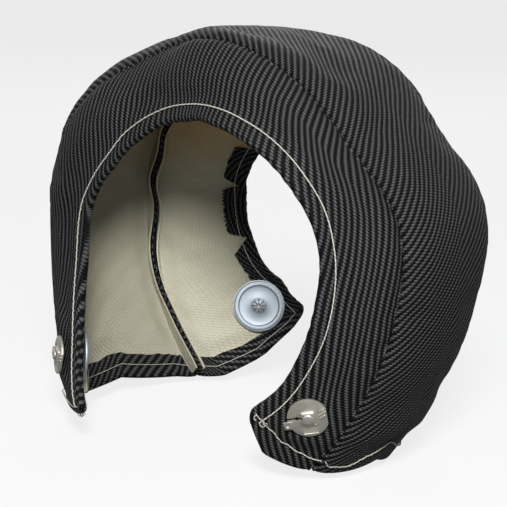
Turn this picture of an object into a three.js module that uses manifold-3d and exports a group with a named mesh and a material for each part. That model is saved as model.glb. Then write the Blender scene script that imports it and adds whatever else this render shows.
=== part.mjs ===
// Turbo heat blanket: a padded C-shaped jacket sewn from two side panels and a rim panel.
// Lengths are in millimetres and angles in degrees. X is right, Y runs from the front
// opening to the rear opening, and Z is up. The gap of the C faces down.
import * as THREE from 'three';
import { mergeVertices } from 'three/addons/utils/BufferGeometryUtils.js';
import Module from 'manifold-3d';

const wasm = await Module();
wasm.setup();

// Ring that the seams follow
const ringRadius = 114;
const ringDepth = 72;

// Stations round the ring, as angles from the top, and the hand-sewn shape at each of them
const stations = [-140, -118, -95, -70, -45, -20, 5, 30, 52, 74, 96, 118, 140];
const frontSeam = {
  side: -1,
  radiusChange: [5, -2, -5, -2, -3, -2, 4, 2, 0, 7, 6, 6, 10],
  placeChange: [-20, -7, -2, -3, -8, -1, -3, -1, 3, 8, 2, -6, -14],
  lean: [33, 28, 22, 18, 14, 25, 26, 41, 58, 55, 49, 39, 30],
  panelWidth: [44, 43, 43, 44, 45, 44, 44, 41, 38, 42, 41, 40, 47],
};
const rearSeam = {
  side: 1,
  radiusChange: [8, 1, -6, -5, -5, -4, -1, 7, 4, 9, 6, 5, 10],
  placeChange: [17, 14, 9, 6, 3, 0, 0, 2, 4, 8, 4, -1, -10],
  lean: [38, 37, 36, 33, 30, 30, 30, 32, 34, 36, 38, 39, 39],
  panelWidth: [76, 70, 59, 56, 55, 54, 54, 54, 54, 54, 54, 54, 54],
};
const rimBulge = [6, 9, 10, 10, 8, 3, 0, 1, 3, 4, 4, 5, 12];
const panelBow = 1;

// Angles where the C ends, on lines across it: the front edge is at 0, the front seam at 1,
// the rear seam at 2 and the rear edge at 3
const sectionPlaces = [0, 0.5, 1, 1.5, 2, 2.5, 3];
const leftEndAngles = [152, 144, 137, 134, 141, 147, 141];
const rightEndAngles = [134, 142, 138, 134, 140.5, 138, 137];

// Cloth layers from the outside in
const coverThickness = 1;
const linerThickness = 1;
const matThickness = 6.5;
const matAtHem = 1.2;
const matAtSeam = 3.2;
const outwardSwell = 0.45;
const layerGap = 0.3;

// Hems and seam allowances
const hemWidth = 13;
const endHemWidth = 13;
const seamAllowance = 8;
const allowanceSwell = 1.2;
const swellLength = 61;
const frontSway = 1.2;
const rearSway = 2.4;
const swayLength = 92;
const ridgeFoot = 3;
const allowanceGap = 0.45;
const seamSoftening = 14;
const notchSpacing = 31;
const notchWidth = 6;
const notchDepth = 11;

// Sewing thread
const threadWidth = 1.1;
const threadHeight = 0.6;
const threadInset = 6;

// Lacing anchors
const pinDiameter = 2.7;
const pinClearance = 0.3;
const pinHeadDiameter = 6.4;
const pinHeadHeight = 0.9;
const pinTip = 3.2;
const plateDiameter = 20.5;
const plateThickness = 1;
const plateBossWidth = 8.5;
const plateBossHeight = 1.4;
const plateSlitWidth = 1.2;
const washerDiameter = 30;
const washerThickness = 0.8;
const washerRimHeight = 1.6;
const washerRimWidth = 3;
const seatGap = 0.7;
const frontAnchorInset = 36;
const rearAnchorInset = 33;
const frontAnchorPlace = 23;
const rearAnchorPlace = 28;

// Nominal lengths of the sewing pattern, which place() stretches to each panel
const patternArc = 552;
const patternSide = 44;
const patternRim = 80;
const ringCells = 28;

const radians = THREE.MathUtils.degToRad;
const degrees = THREE.MathUtils.radToDeg;

// Smooth curve through one value for each station
function along(values, angle) {
  const last = stations.length - 1;
  let i = 0;
  while (i < last - 1 && angle > stations[i + 1]) i += 1;
  const slope = (k) => {
    const before = Math.max(k - 1, 0);
    const after = Math.min(k + 1, last);
    return (values[after] - values[before]) / (stations[after] - stations[before]);
  };
  const span = stations[i + 1] - stations[i];
  const t = (angle - stations[i]) / span;
  const rise = values[i + 1] - values[i];
  const startSlope = slope(i) * span;
  const endSlope = slope(i + 1) * span;
  const square = 3 * rise - 2 * startSlope - endSlope;
  const cube = startSlope + endSlope - 2 * rise;
  return values[i] + t * (startSlope + t * (square + t * cube));
}

// Straight steps between values given at rising places
function between(places, values, place) {
  let i = 0;
  while (i < places.length - 2 && place > places[i + 1]) i += 1;
  const t = (place - places[i]) / (places[i + 1] - places[i]);
  return values[i] + t * (values[i + 1] - values[i]);
}

function smooth(value) {
  const t = Math.min(Math.max(value, 0), 1);
  return t * t * (3 - 2 * t);
}

// A length on the pattern keeps its millimetres near both ends and stretches in between
function spread(place, patternLength, realLength, margin) {
  if (place <= margin) return place;
  if (place >= patternLength - margin) return realLength - (patternLength - place);
  const share = (place - margin) / (patternLength - 2 * margin);
  return margin + share * (realLength - 2 * margin);
}

// Three panels of the pattern, with the section place where each starts and its direction
const frontPanel = { seam: frontSeam, start: 1, step: -1, length: patternSide, hand: 1 };
const rearPanel = { seam: rearSeam, start: 2, step: 1, length: patternSide, hand: -1 };
const rimPanel = { seam: null, start: 1, step: 1, length: patternRim, hand: -1 };

// Angle round the ring of a pattern place, u along the ring and s across the panel
function angleAt(panel, u, s) {
  const section = panel.start + (panel.step * s) / panel.length;
  const left = between(sectionPlaces, leftEndAngles, section);
  const right = between(sectionPlaces, rightEndAngles, section);
  const arc = radians(left + right) * ringRadius;
  return -left + degrees(spread(u, patternArc, arc, 2 * endHemWidth) / ringRadius);
}

function seamPoint(seam, angle) {
  const radius = ringRadius + along(seam.radiusChange, angle);
  const y = (seam.side * ringDepth) / 2 + along(seam.placeChange, angle);
  return new THREE.Vector3(radius * Math.sin(radians(angle)), y, radius * Math.cos(radians(angle)));
}

// Point of the outer surface before the padding swells it
function flatPoint(panel, u, s) {
  const angle = angleAt(panel, u, s);
  if (!panel.seam) {
    const front = seamPoint(frontSeam, angle);
    const rear = seamPoint(rearSeam, angle);
    const width = front.distanceTo(rear);
    const t = spread(s, panel.length, width, seamSoftening) / width;
    const radial = new THREE.Vector3(Math.sin(radians(angle)), 0, Math.cos(radians(angle)));
    return front.lerp(rear, t).addScaledVector(radial, 4 * t * (1 - t) * along(rimBulge, angle));
  }
  const { side, lean, panelWidth } = panel.seam;
  const start = seamPoint(panel.seam, angle);
  const ahead = seamPoint(panel.seam, angle + 0.5).sub(seamPoint(panel.seam, angle - 0.5));
  const inward = new THREE.Vector3(ahead.z, 0, -ahead.x).normalize();
  const tilt = radians(along(lean, angle));
  const width = along(panelWidth, angle);
  const reach = spread(s, panel.length, width, seamSoftening);
  const t = reach / width;
  const bow = 4 * t * (1 - t) * panelBow;
  start.addScaledVector(inward, reach * Math.cos(tilt) - bow * Math.sin(tilt));
  start.y += side * (reach * Math.sin(tilt) + bow * Math.cos(tilt));
  return start;
}

// Direction into the blanket, square to the surface
function depthDirection(panel, u, s) {
  const step = 0.5;
  const alongRing = flatPoint(panel, u + step, s).sub(flatPoint(panel, u - step, s));
  const across = flatPoint(panel, u, s + step).sub(flatPoint(panel, u, s - step));
  return alongRing.cross(across).multiplyScalar(panel.hand).normalize();
}

// Direction of a seam's ridge, scaled so that layers on both sides of it meet
function mitreDirection(panel, neighbour, u, s, neighbourS) {
  const own = depthDirection(panel, u, s);
  const other = depthDirection(neighbour, u, neighbourS);
  const middle = own.clone().add(other).normalize();
  return middle.divideScalar(middle.dot(own));
}

function mitresOf(panel) {
  if (panel === rimPanel) {
    return [{ at: 0, neighbour: frontPanel }, { at: patternRim, neighbour: rearPanel }];
  }
  return [{ at: 0, neighbour: rimPanel, neighbourAt: panel === frontPanel ? 0 : patternRim }];
}

// Thickness of the insulation, thin at the hems and less full at the seams
function matAt(panel, u, s) {
  const toSeam = panel === rimPanel ? Math.min(s, patternRim - s) : s;
  const toEdge = panel === rimPanel ? Infinity : panel.length - s;
  const toEnd = Math.min(u, patternArc - u);
  const seamShare = smooth((toSeam - 2) / 14);
  const hemShare = Math.min(smooth((toEdge - hemWidth) / 12), smooth((toEnd - endHemWidth) / 12));
  const full = matAtSeam + (matThickness - matAtSeam) * seamShare;
  return matAtHem + (full - matAtHem) * hemShare;
}

// Depths where the layers start and end
const depth = {
  coverOut: 0, coverIn: 1, matOut: 2, matIn: 3, linerOut: 4, linerIn: 5, hemOut: 6, hemIn: 7, ridge: 8,
  threadIn: -1, threadOut: -2,
};
function depthOf(level, mat) {
  if (level === depth.threadIn) return -layerGap;
  if (level === depth.threadOut) return -layerGap - threadHeight;
  const steps = [0, coverThickness, layerGap, mat, layerGap, linerThickness, layerGap, coverThickness];
  let total = 0;
  for (let i = 1; i <= Math.min(level, depth.hemIn); i += 1) total += steps[i];
  return total;
}

// Sideways sway of a seam allowance at its free edge
function ridgeSway(panel, u, s) {
  const rear = panel === rearPanel || (panel === rimPanel && s > patternRim / 2);
  return (rear ? rearSway : frontSway) * Math.sin((2 * Math.PI * u) / swayLength);
}

function nearSeam(panel, s) {
  const toSeam = panel === rimPanel ? Math.min(s, patternRim - s) : s;
  return toSeam < ridgeFoot;
}

// Point of the blanket at a pattern place and a layer level
function place(panel, u, s, level) {
  const mat = matAt(panel, u, s);
  const point = flatPoint(panel, u, s);
  let direction = depthDirection(panel, u, s);
  for (const { at, neighbour, neighbourAt = 0 } of mitresOf(panel)) {
    const mitre = mitreDirection(panel, neighbour, u, at, neighbourAt);
    const share = smooth((Math.abs(s - at) - ridgeFoot) / (seamSoftening - ridgeFoot));
    direction = mitre.lerp(direction, share);
  }
  let reach = depthOf(level, mat);
  if (level > depth.linerIn && nearSeam(panel, s)) {
    const foot = depthOf(depth.linerIn, mat);
    const height = seamAllowance + allowanceSwell * Math.sin((2 * Math.PI * u) / swellLength);
    if (level === depth.ridge) reach = foot + height;
    point.y += (ridgeSway(panel, u, s) * (reach - foot)) / height;
  }
  return point.addScaledVector(direction, reach + outwardSwell * (matAtHem - mat));
}

// Closed solid of the pattern boxes of one panel. Each box is [u range, s range, levels].
function layer(panel, boxes, extraS) {
  const rising = (values) => [...new Set(values)].sort((a, b) => a - b);
  const us = [endHemWidth, patternArc - endHemWidth];
  for (let i = 0; i <= ringCells; i += 1) {
    us.push(2 * endHemWidth + ((patternArc - 4 * endHemWidth) * i) / ringCells);
  }
  const within = (value, boxes, axis) => boxes.some((box) => value >= box[axis][0] && value <= box[axis][1]);
  const lines = [
    rising([...us, ...boxes.flatMap((box) => box[0])]).filter((value) => within(value, boxes, 0)),
    rising([...extraS, ...boxes.flatMap((box) => box[1])]).filter((value) => within(value, boxes, 1)),
    rising(boxes.flatMap((box) => box[2])),
  ];
  const filled = (cell) => {
    if (cell.some((index, axis) => index < 0 || index >= lines[axis].length - 1)) return false;
    const middle = cell.map((index, axis) => (lines[axis][index] + lines[axis][index + 1]) / 2);
    return boxes.some((box) => middle.every((value, axis) => value > box[axis][0] && value < box[axis][1]));
  };
  const numbers = new Map();
  const positions = [];
  const corner = (cell) => {
    const key = cell.join(',');
    if (!numbers.has(key)) {
      numbers.set(key, positions.length / 3);
      const [u, s, level] = cell.map((index, axis) => lines[axis][index]);
      positions.push(...place(panel, u, s, level).toArray());
    }
    return numbers.get(key);
  };
  const faces = [];
  for (let i = 0; i < lines[0].length - 1; i += 1) {
    for (let j = 0; j < lines[1].length - 1; j += 1) {
      for (let k = 0; k < lines[2].length - 1; k += 1) {
        if (!filled([i, j, k])) continue;
        for (let axis = 0; axis < 3; axis += 1) {
          for (const end of [0, 1]) {
            const next = [i, j, k];
            next[axis] += end ? 1 : -1;
            if (filled(next)) continue;
            const first = (axis + 1) % 3;
            const second = (axis + 2) % 3;
            const ring = [[0, 0], [1, 0], [1, 1], [0, 1]].map(([a, b]) => {
              const cell = [i, j, k];
              cell[axis] += end;
              cell[first] += a;
              cell[second] += b;
              return corner(cell);
            });
            if (!end) ring.reverse();
            const turned = end ? 0 : 1;
            faces.push([ring[turned], ring[1 + turned], ring[2 + turned]]);
            faces.push([ring[turned], ring[2 + turned], ring[(3 + turned) % 4]]);
          }
        }
      }
    }
  }
  if (panel.hand < 0) faces.forEach((face) => face.reverse());
  const geometry = new THREE.BufferGeometry();
  geometry.setAttribute('position', new THREE.Float32BufferAttribute(positions, 3));
  geometry.setIndex(faces.flat());
  return geometry;
}

// Solids that join and cut
function toSolid(geometry) {
  const bare = geometry.clone();
  bare.deleteAttribute('normal');
  bare.deleteAttribute('uv');
  const merged = mergeVertices(bare, 1e-4);
  return new wasm.Manifold(new wasm.Mesh({
    numProp: 3,
    vertProperties: Float32Array.from(merged.attributes.position.array),
    triVerts: Uint32Array.from(merged.index.array),
  }));
}

function toGeometry(solid) {
  const mesh = solid.getMesh();
  const geometry = new THREE.BufferGeometry();
  geometry.setAttribute('position', new THREE.Float32BufferAttribute(mesh.vertProperties, 3));
  geometry.setIndex(Array.from(mesh.triVerts));
  return geometry;
}

function cut(geometry, cutters) {
  let solid = toSolid(geometry);
  for (const cutter of cutters) solid = solid.subtract(toSolid(cutter));
  return toGeometry(solid);
}

function join(geometries) {
  let solid = toSolid(geometries[0]);
  for (const geometry of geometries.slice(1)) solid = solid.add(toSolid(geometry));
  return toGeometry(solid);
}

// Frame on the outer surface: X along the ring, Y across the panel, Z outward
function surfaceFrame(panel, u, s, level) {
  const outward = depthDirection(panel, u, s).negate();
  const alongRing = flatPoint(panel, u + 1, s).sub(flatPoint(panel, u - 1, s)).normalize();
  const across = new THREE.Vector3().crossVectors(outward, alongRing).normalize();
  const tangent = new THREE.Vector3().crossVectors(across, outward);
  return new THREE.Matrix4().makeBasis(tangent, across, outward).setPosition(place(panel, u, s, level));
}

// Lines of the pattern across a side panel and across the rim
const coverAllowance = [allowanceGap / 2, allowanceGap / 2 + coverThickness];
const linerAllowance = [coverAllowance[1] + allowanceGap, coverAllowance[1] + allowanceGap + linerThickness];
const hemStart = linerAllowance[1] + layerGap;
const sideEdge = patternSide;
const sideLines = [seamSoftening, sideEdge / 2, sideEdge - hemWidth, sideEdge - threadInset];
const rimLines = [seamSoftening, patternRim / 2, patternRim - seamSoftening];
const wholeArc = [0, patternArc];
const insideArc = [coverThickness + layerGap, patternArc - coverThickness - layerGap];
const endWalls = [[0, coverThickness], [patternArc - coverThickness, patternArc]];
const endHems = [[0, endHemWidth], [patternArc - endHemWidth, patternArc]];
const hemLevels = [depth.hemOut, depth.hemIn];
const coverLevels = [depth.coverOut, depth.coverIn];

function sideCover(panel) {
  const boxes = [
    [wholeArc, [coverAllowance[0], sideEdge], coverLevels],
    [wholeArc, coverAllowance, [depth.coverOut, depth.linerIn]],
    [wholeArc, coverAllowance, [depth.linerIn, depth.ridge]],
    [wholeArc, [sideEdge - coverThickness, sideEdge], [depth.coverOut, depth.hemIn]],
    [wholeArc, [sideEdge - hemWidth, sideEdge], hemLevels],
    ...endWalls.map((range) => [range, [hemStart, sideEdge], [depth.coverOut, depth.hemIn]]),
    ...endHems.map((range) => [range, [hemStart, sideEdge], hemLevels]),
  ];
  return layer(panel, boxes, sideLines);
}

function rimCover() {
  const far = (range) => range.map((value) => patternRim - value).reverse();
  const boxes = [
    [wholeArc, [coverAllowance[0], patternRim - coverAllowance[0]], coverLevels],
    ...[coverAllowance, far(coverAllowance)].flatMap((range) => [
      [wholeArc, range, [depth.coverOut, depth.linerIn]],
      [wholeArc, range, [depth.linerIn, depth.ridge]],
    ]),
    ...endWalls.map((range) => [range, [hemStart, patternRim - hemStart], [depth.coverOut, depth.hemIn]]),
    ...endHems.map((range) => [range, [hemStart, patternRim - hemStart], hemLevels]),
  ];
  return layer(rimPanel, boxes, rimLines);
}

function mat(panel) {
  const ends = panel === rimPanel
    ? [linerAllowance[0], patternRim - linerAllowance[0]]
    : [linerAllowance[0], sideEdge - coverThickness - layerGap];
  const lines = panel === rimPanel ? rimLines : sideLines;
  const besideSeams = [linerAllowance[1], patternRim - linerAllowance[1]];
  return layer(panel, [[insideArc, ends, [depth.matOut, depth.matIn]]], [...lines, ...besideSeams]);
}

function liner(panel) {
  const isRim = panel === rimPanel;
  const farAllowance = linerAllowance.map((value) => patternRim - value).reverse();
  const allowances = isRim ? [linerAllowance, farAllowance] : [linerAllowance];
  const end = isRim ? patternRim - linerAllowance[0] : sideEdge - coverThickness - layerGap;
  const boxes = [
    [insideArc, [linerAllowance[0], end], [depth.linerOut, depth.linerIn]],
    ...allowances.map((range) => [insideArc, range, [depth.linerIn, depth.ridge]]),
  ];
  return layer(panel, boxes, isRim ? rimLines : sideLines);
}

// V-shaped notches that let the folded hem follow the opening
function notchCutters(panel) {
  const cutters = [];
  const shape = new THREE.Shape([
    new THREE.Vector2(-notchWidth / 2, -notchDepth - 3),
    new THREE.Vector2(notchWidth / 2, -notchDepth - 3),
    new THREE.Vector2(0, 0),
  ]);
  const height = coverThickness + layerGap / 2 + 2;
  for (let u = endHemWidth + notchSpacing; u < patternArc - endHemWidth - notchWidth; u += notchSpacing) {
    const cutter = new THREE.ExtrudeGeometry(shape, { depth: height, bevelEnabled: false });
    const s = sideEdge - hemWidth + notchDepth;
    const frame = surfaceFrame(panel, u, s, depth.hemIn);
    const pointer = new THREE.Vector3().setFromMatrixColumn(frame, 1);
    const towardEdge = place(panel, u, s, 0).sub(place(panel, u, s - 4, 0));
    if (pointer.dot(towardEdge) < 0) frame.multiply(new THREE.Matrix4().makeRotationZ(Math.PI));
    cutter.translate(0, 0, -2);
    cutter.applyMatrix4(frame);
    cutters.push(cutter);
  }
  return cutters;
}

// Threads lie on the cover along the hems
function thread(path, acrossRing) {
  const half = threadWidth / 2;
  const positions = [];
  for (const { panel, u, s } of path) {
    const corners = [
      [-half, depth.threadIn],
      [half, depth.threadIn],
      [half, depth.threadOut],
      [-half, depth.threadOut],
    ];
    for (const [shift, level] of corners) {
      const at = acrossRing ? [u + shift, s] : [u, s + shift];
      positions.push(...place(panel, at[0], at[1], level).toArray());
    }
  }
  const count = path.length;
  const faces = [[0, 1, 2], [0, 2, 3]];
  for (let i = 0; i < count - 1; i += 1) {
    for (let k = 0; k < 4; k += 1) {
      const a = 4 * i + k;
      const b = 4 * i + ((k + 1) % 4);
      faces.push([a, a + 4, b + 4], [a, b + 4, b]);
    }
  }
  const e = 4 * (count - 1);
  faces.push([e, e + 2, e + 1], [e, e + 3, e + 2]);
  const geometry = new THREE.BufferGeometry();
  geometry.setAttribute('position', new THREE.Float32BufferAttribute(positions, 3));
  geometry.setIndex(faces.flat());
  if (signedVolume(geometry) < 0) geometry.setIndex(faces.flatMap((face) => face.reverse()));
  return geometry;
}

function signedVolume(geometry) {
  const points = geometry.attributes.position;
  const index = geometry.index.array;
  const read = (i) => new THREE.Vector3().fromBufferAttribute(points, index[i]);
  let total = 0;
  for (let i = 0; i < index.length; i += 3) total += read(i).dot(read(i + 1).cross(read(i + 2))) / 6;
  return total;
}

function openingThread(panel) {
  const path = [];
  for (let i = 0; i <= ringCells; i += 1) {
    const u = 2 * endHemWidth + ((patternArc - 4 * endHemWidth) * i) / ringCells;
    path.push({ panel, u, s: sideEdge - threadInset });
  }
  path.unshift({ panel, u: endHemWidth, s: sideEdge - threadInset });
  path.unshift({ panel, u: threadInset + threadWidth, s: sideEdge - threadInset });
  path.push({ panel, u: patternArc - endHemWidth, s: sideEdge - threadInset });
  path.push({ panel, u: patternArc - threadInset - threadWidth, s: sideEdge - threadInset });
  return thread(path, false);
}

function endThread(u) {
  const sidePlaces = [...sideLines.toReversed(), coverAllowance[0]];
  const path = sidePlaces.map((s) => ({ panel: frontPanel, u, s }));
  const rimPlaces = [coverAllowance[0], ...rimLines, patternRim - coverAllowance[0]];
  path.push(...rimPlaces.map((s) => ({ panel: rimPanel, u, s })));
  path.push(...sidePlaces.reverse().map((s) => ({ panel: rearPanel, u, s })));
  return thread(path, true);
}

// Lacing anchor: a pin through the cloth, a hook plate outside and a locking washer inside
const pinHole = pinDiameter / 2 + pinClearance;

function hookPlate() {
  const radius = plateDiameter / 2;
  const profile = [
    [pinHole, plateBossHeight],
    [pinHole, plateBossHeight + plateThickness],
    [plateBossWidth / 2 - 0.8, plateBossHeight + plateThickness],
    [plateBossWidth / 2 + 0.6, plateThickness],
    [radius - 0.3, plateThickness],
    [radius, plateThickness / 2],
    [radius - 0.3, 0],
    [plateBossWidth / 2 - 0.4, 0],
    [plateBossWidth / 2 - 1.8, plateBossHeight],
    [pinHole, plateBossHeight],
  ].map(([x, y]) => new THREE.Vector2(x, y)).reverse();
  const disc = new THREE.LatheGeometry(profile, 16);
  disc.rotateX(Math.PI / 2);
  const slit = new THREE.BoxGeometry(radius, plateSlitWidth, 8);
  slit.translate(-radius / 2 - pinHole, 0, 1);
  const flat = new THREE.BoxGeometry(4, plateDiameter, 8);
  flat.translate(radius + 0.9, 0, 1);
  const cleared = cut(disc, [slit, flat]);
  const tab = new THREE.BoxGeometry(3.4, 3.6, 0.9);
  tab.translate(-radius + 1, -plateSlitWidth / 2 - 2, plateThickness + 0.2);
  const ribs = [-2.6, 1.4].map((y) => {
    const rib = new THREE.BoxGeometry(3.8, 0.7, 0.7);
    rib.translate(radius - 4.4, y, plateThickness + 0.1);
    return rib;
  });
  const scoop = new THREE.BoxGeometry(5, 1.2, 0.6);
  scoop.translate(0, -plateBossWidth / 2 - 3, plateThickness + 0.05);
  return join([cleared, tab, scoop, ...ribs]);
}

function lockingWasher() {
  const radius = washerDiameter / 2;
  const profile = [
    [pinHole, 1],
    [pinHole, 1 + washerThickness],
    [4, washerThickness],
    [radius - washerRimWidth, washerThickness],
    [radius - washerRimWidth + 0.8, washerRimHeight],
    [radius - 0.5, washerRimHeight],
    [radius, washerRimHeight / 2],
    [radius - 0.4, 0],
    [4, 0],
    [pinHole, 1],
  ].map(([x, y]) => new THREE.Vector2(x, y)).reverse();
  const geometry = new THREE.LatheGeometry(profile, 16);
  geometry.rotateX(Math.PI / 2);
  return toGeometry(toSolid(geometry));
}

function anchorPin(length) {
  const radius = pinDiameter / 2;
  const profile = [
    [0, pinHeadHeight],
    [pinHeadDiameter / 2 - 0.4, pinHeadHeight],
    [pinHeadDiameter / 2, pinHeadHeight / 2],
    [pinHeadDiameter / 2, 0],
    [radius, 0],
    [radius, -length + 1],
    [radius * 0.4, -length],
    [0, -length],
  ].map(([x, y]) => new THREE.Vector2(x, y)).reverse();
  const geometry = new THREE.LatheGeometry(profile, 8);
  geometry.rotateX(Math.PI / 2);
  return toGeometry(toSolid(geometry));
}

// Height that a flat disc needs above a face of the blanket
function seatHeight(frame, panel, u, s, inside, radius) {
  const inverse = frame.clone().invert();
  let height = -Infinity;
  for (let du = -radius; du <= radius; du += radius / 10) {
    for (let ds = -radius; ds <= radius; ds += radius / 10) {
      if (Math.hypot(du, ds) > radius) continue;
      const toEnd = Math.min(u + du, patternArc - u - du);
      const onHem = toEnd < endHemWidth || s + ds > sideEdge - hemWidth;
      const inner = onHem ? depth.hemIn : depth.linerIn;
      const point = place(panel, u + du, s + ds, inside ? inner : depth.coverOut).applyMatrix4(inverse);
      height = Math.max(height, inside ? -point.z : point.z);
    }
  }
  return height;
}

// Finishes
function finish(color, roughness, metalness) {
  return () => new THREE.MeshStandardMaterial({ color, roughness, metalness });
}
const coverCloth = finish(0x1b1c1e, 0.42, 0);
const linerCloth = finish(0xbdb298, 0.95, 0);
const matWool = finish(0xd9d4c4, 1, 0);
const threadCotton = finish(0xb9b1a0, 0.9, 0);
const plateSteel = finish(0xa9a596, 0.45, 0.8);
const washerSteel = finish(0xa3aeb6, 0.4, 0.75);

const blanket = new THREE.Group();
function add(name, geometry, material) {
  const mesh = new THREE.Mesh(geometry, material());
  mesh.name = name;
  blanket.add(mesh);
  return mesh;
}

// Lacing anchors near both ends of both side panels
const anchors = [];
for (const [row, panel] of [['front', frontPanel], ['rear', rearPanel]]) {
  for (const hand of ['left', 'right']) {
    const inset = row === 'front' ? frontAnchorInset : rearAnchorInset;
    const u = hand === 'left' ? inset : patternArc - inset;
    const s = row === 'front' ? frontAnchorPlace : rearAnchorPlace;
    anchors.push({ name: `${row}_${hand}`, panel, u, s });
  }
}
for (const anchor of anchors) {
  const { panel, u, s } = anchor;
  const frame = surfaceFrame(panel, u, s, depth.coverOut);
  const plateHeight = seatHeight(frame, panel, u, s, false, plateDiameter / 2) + seatGap;
  const washerHeight = seatHeight(frame, panel, u, s, true, washerDiameter / 2) + seatGap;
  const headHeight = plateHeight + plateBossHeight + plateThickness + layerGap;
  anchor.frame = frame;
  anchor.plateHeight = plateHeight;
  anchor.washerHeight = washerHeight;
  anchor.headHeight = headHeight;
}

function pinHoles(panel) {
  return anchors.filter((anchor) => anchor.panel === panel).map((anchor) => {
    const hole = new THREE.CylinderGeometry(pinHole, pinHole, 60, 8);
    hole.rotateX(Math.PI / 2);
    hole.applyMatrix4(anchor.frame);
    return hole;
  });
}

for (const [name, panel] of [['front_side', frontPanel], ['rear_side', rearPanel]]) {
  add(`${name}_cover`, cut(sideCover(panel), [...notchCutters(panel), ...pinHoles(panel)]), coverCloth);
  add(`${name}_mat`, cut(mat(panel), pinHoles(panel)), matWool);
  add(`${name}_liner`, cut(liner(panel), pinHoles(panel)), linerCloth);
}
add('rim_cover', rimCover(), coverCloth);
add('rim_mat', mat(rimPanel), matWool);
add('rim_liner', liner(rimPanel), linerCloth);
add('front_opening_thread', openingThread(frontPanel), threadCotton);
add('rear_opening_thread', openingThread(rearPanel), threadCotton);
add('left_end_thread', endThread(threadInset), threadCotton);
add('right_end_thread', endThread(patternArc - threadInset), threadCotton);

for (const { name, frame, plateHeight, washerHeight, headHeight } of anchors) {
  const length = headHeight + washerHeight + washerThickness + pinTip;
  const spots = [
    ['hook_plate', hookPlate(), plateSteel, plateHeight, 0],
    ['pin', anchorPin(length), plateSteel, headHeight, 0],
    ['washer', lockingWasher(), washerSteel, -washerHeight, Math.PI],
  ];
  for (const [part, geometry, material, height, turn] of spots) {
    const mesh = add(`${name}_${part}`, geometry, material);
    const seat = new THREE.Matrix4().makeTranslation(0, 0, height);
    seat.multiply(new THREE.Matrix4().makeRotationX(turn));
    mesh.applyMatrix4(frame.clone().multiply(seat));
  }
}

// The blanket stands on its ends, centred over the origin
const bounds = new THREE.Box3().setFromObject(blanket, true);
const middle = bounds.getCenter(new THREE.Vector3());
blanket.position.set(-middle.x, -middle.y, -bounds.min.z);

export default blanket;
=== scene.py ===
"""Turbo heat blanket: three sewn panels of black cover, needled mat and cream liner.

Pattern places are in millimetres: u runs along the ring from its left end to its right end,
and s runs across a panel from its seam. Depth runs from the outer face into the blanket.
"""
import math
import bpy
import numpy as np
from mathutils import Matrix, Vector


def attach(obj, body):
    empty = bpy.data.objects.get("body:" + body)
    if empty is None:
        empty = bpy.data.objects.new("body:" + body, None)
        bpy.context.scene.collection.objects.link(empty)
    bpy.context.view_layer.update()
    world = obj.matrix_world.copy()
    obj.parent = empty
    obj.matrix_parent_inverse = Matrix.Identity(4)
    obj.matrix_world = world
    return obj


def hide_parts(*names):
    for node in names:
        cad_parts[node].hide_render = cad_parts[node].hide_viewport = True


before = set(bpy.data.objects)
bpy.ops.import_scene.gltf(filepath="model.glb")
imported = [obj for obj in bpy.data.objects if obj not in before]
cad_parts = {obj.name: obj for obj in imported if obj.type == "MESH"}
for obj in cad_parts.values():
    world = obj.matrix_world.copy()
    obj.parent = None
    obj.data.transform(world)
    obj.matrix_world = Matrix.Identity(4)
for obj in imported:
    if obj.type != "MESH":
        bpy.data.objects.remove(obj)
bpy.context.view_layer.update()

# Shape of the ring, as in the part's source
RING_CENTRE = np.array([-3.130, -6.502, 97.286])
RING_RADIUS = 114.0
RING_DEPTH = 72.0
STATIONS = np.array([-140.0, -118, -95, -70, -45, -20, 5, 30, 52, 74, 96, 118, 140])
FRONT_SEAM = {
    "side": -1,
    "radius": [5, -2, -5, -2, -3, -2, 4, 2, 0, 7, 6, 6, 10],
    "place": [-20, -7, -2, -3, -8, -1, -3, -1, 3, 8, 2, -6, -14],
    "lean": [33, 28, 22, 18, 14, 25, 26, 41, 58, 55, 49, 39, 30],
    "width": [44, 43, 43, 44, 45, 44, 44, 41, 38, 42, 41, 40, 47],
}
REAR_SEAM = {
    "side": 1,
    "radius": [8, 1, -6, -5, -5, -4, -1, 7, 4, 9, 6, 5, 10],
    "place": [17, 14, 9, 6, 3, 0, 0, 2, 4, 8, 4, -1, -10],
    "lean": [38, 37, 36, 33, 30, 30, 30, 32, 34, 36, 38, 39, 39],
    "width": [76, 70, 59, 56, 55, 54, 54, 54, 54, 54, 54, 54, 54],
}
RIM_BULGE = [6, 9, 10, 10, 8, 3, 0, 1, 3, 4, 4, 5, 12]
PANEL_BOW = 1.0
SECTION_PLACES = np.array([0, 0.5, 1, 1.5, 2, 2.5, 3])
LEFT_ENDS = np.array([152.0, 144, 137, 134, 141, 147, 141])
RIGHT_ENDS = np.array([134, 142, 138, 134, 140.5, 138, 137])
ARC = 552.0
SIDE = 44.0
RIM = 80.0

# Layers and hems
COVER = 1.0
LINER = 1.0
LAYER_GAP = 0.3
MAT_FULL = 6.5
MAT_AT_HEM = 1.2
MAT_AT_SEAM = 3.2
SWELL = 0.45
HEM = 13.0
ALLOWANCE = 8.0
ALLOWANCE_SWELL = 1.2
SWELL_LENGTH = 61.0
FRONT_SWAY = 1.2
REAR_SWAY = 2.4
SWAY_LENGTH = 92.0
RIDGE_FOOT = 3.0
SOFTENING = 14.0
COVER_PLY = 0.52
LINER_PLY = 2.175
THREAD_INSET = 6.0
THREAD_AT = np.array([0.0, 150, 172, 206, 230, 300, 350, 400, 430, 475, 510, 552])
THREAD_FROM_EDGE = np.array([5.2, 4.8, 4.6, 5.4, 6.8, 7.4, 8.4, 8.0, 6.6, 7.8, 6.8, 7.0])
END_THREAD_AT = np.array([2.0, 10, 17, 23, 31, 39, 44, 49, 58, 70, 86, 100, 124])
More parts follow.
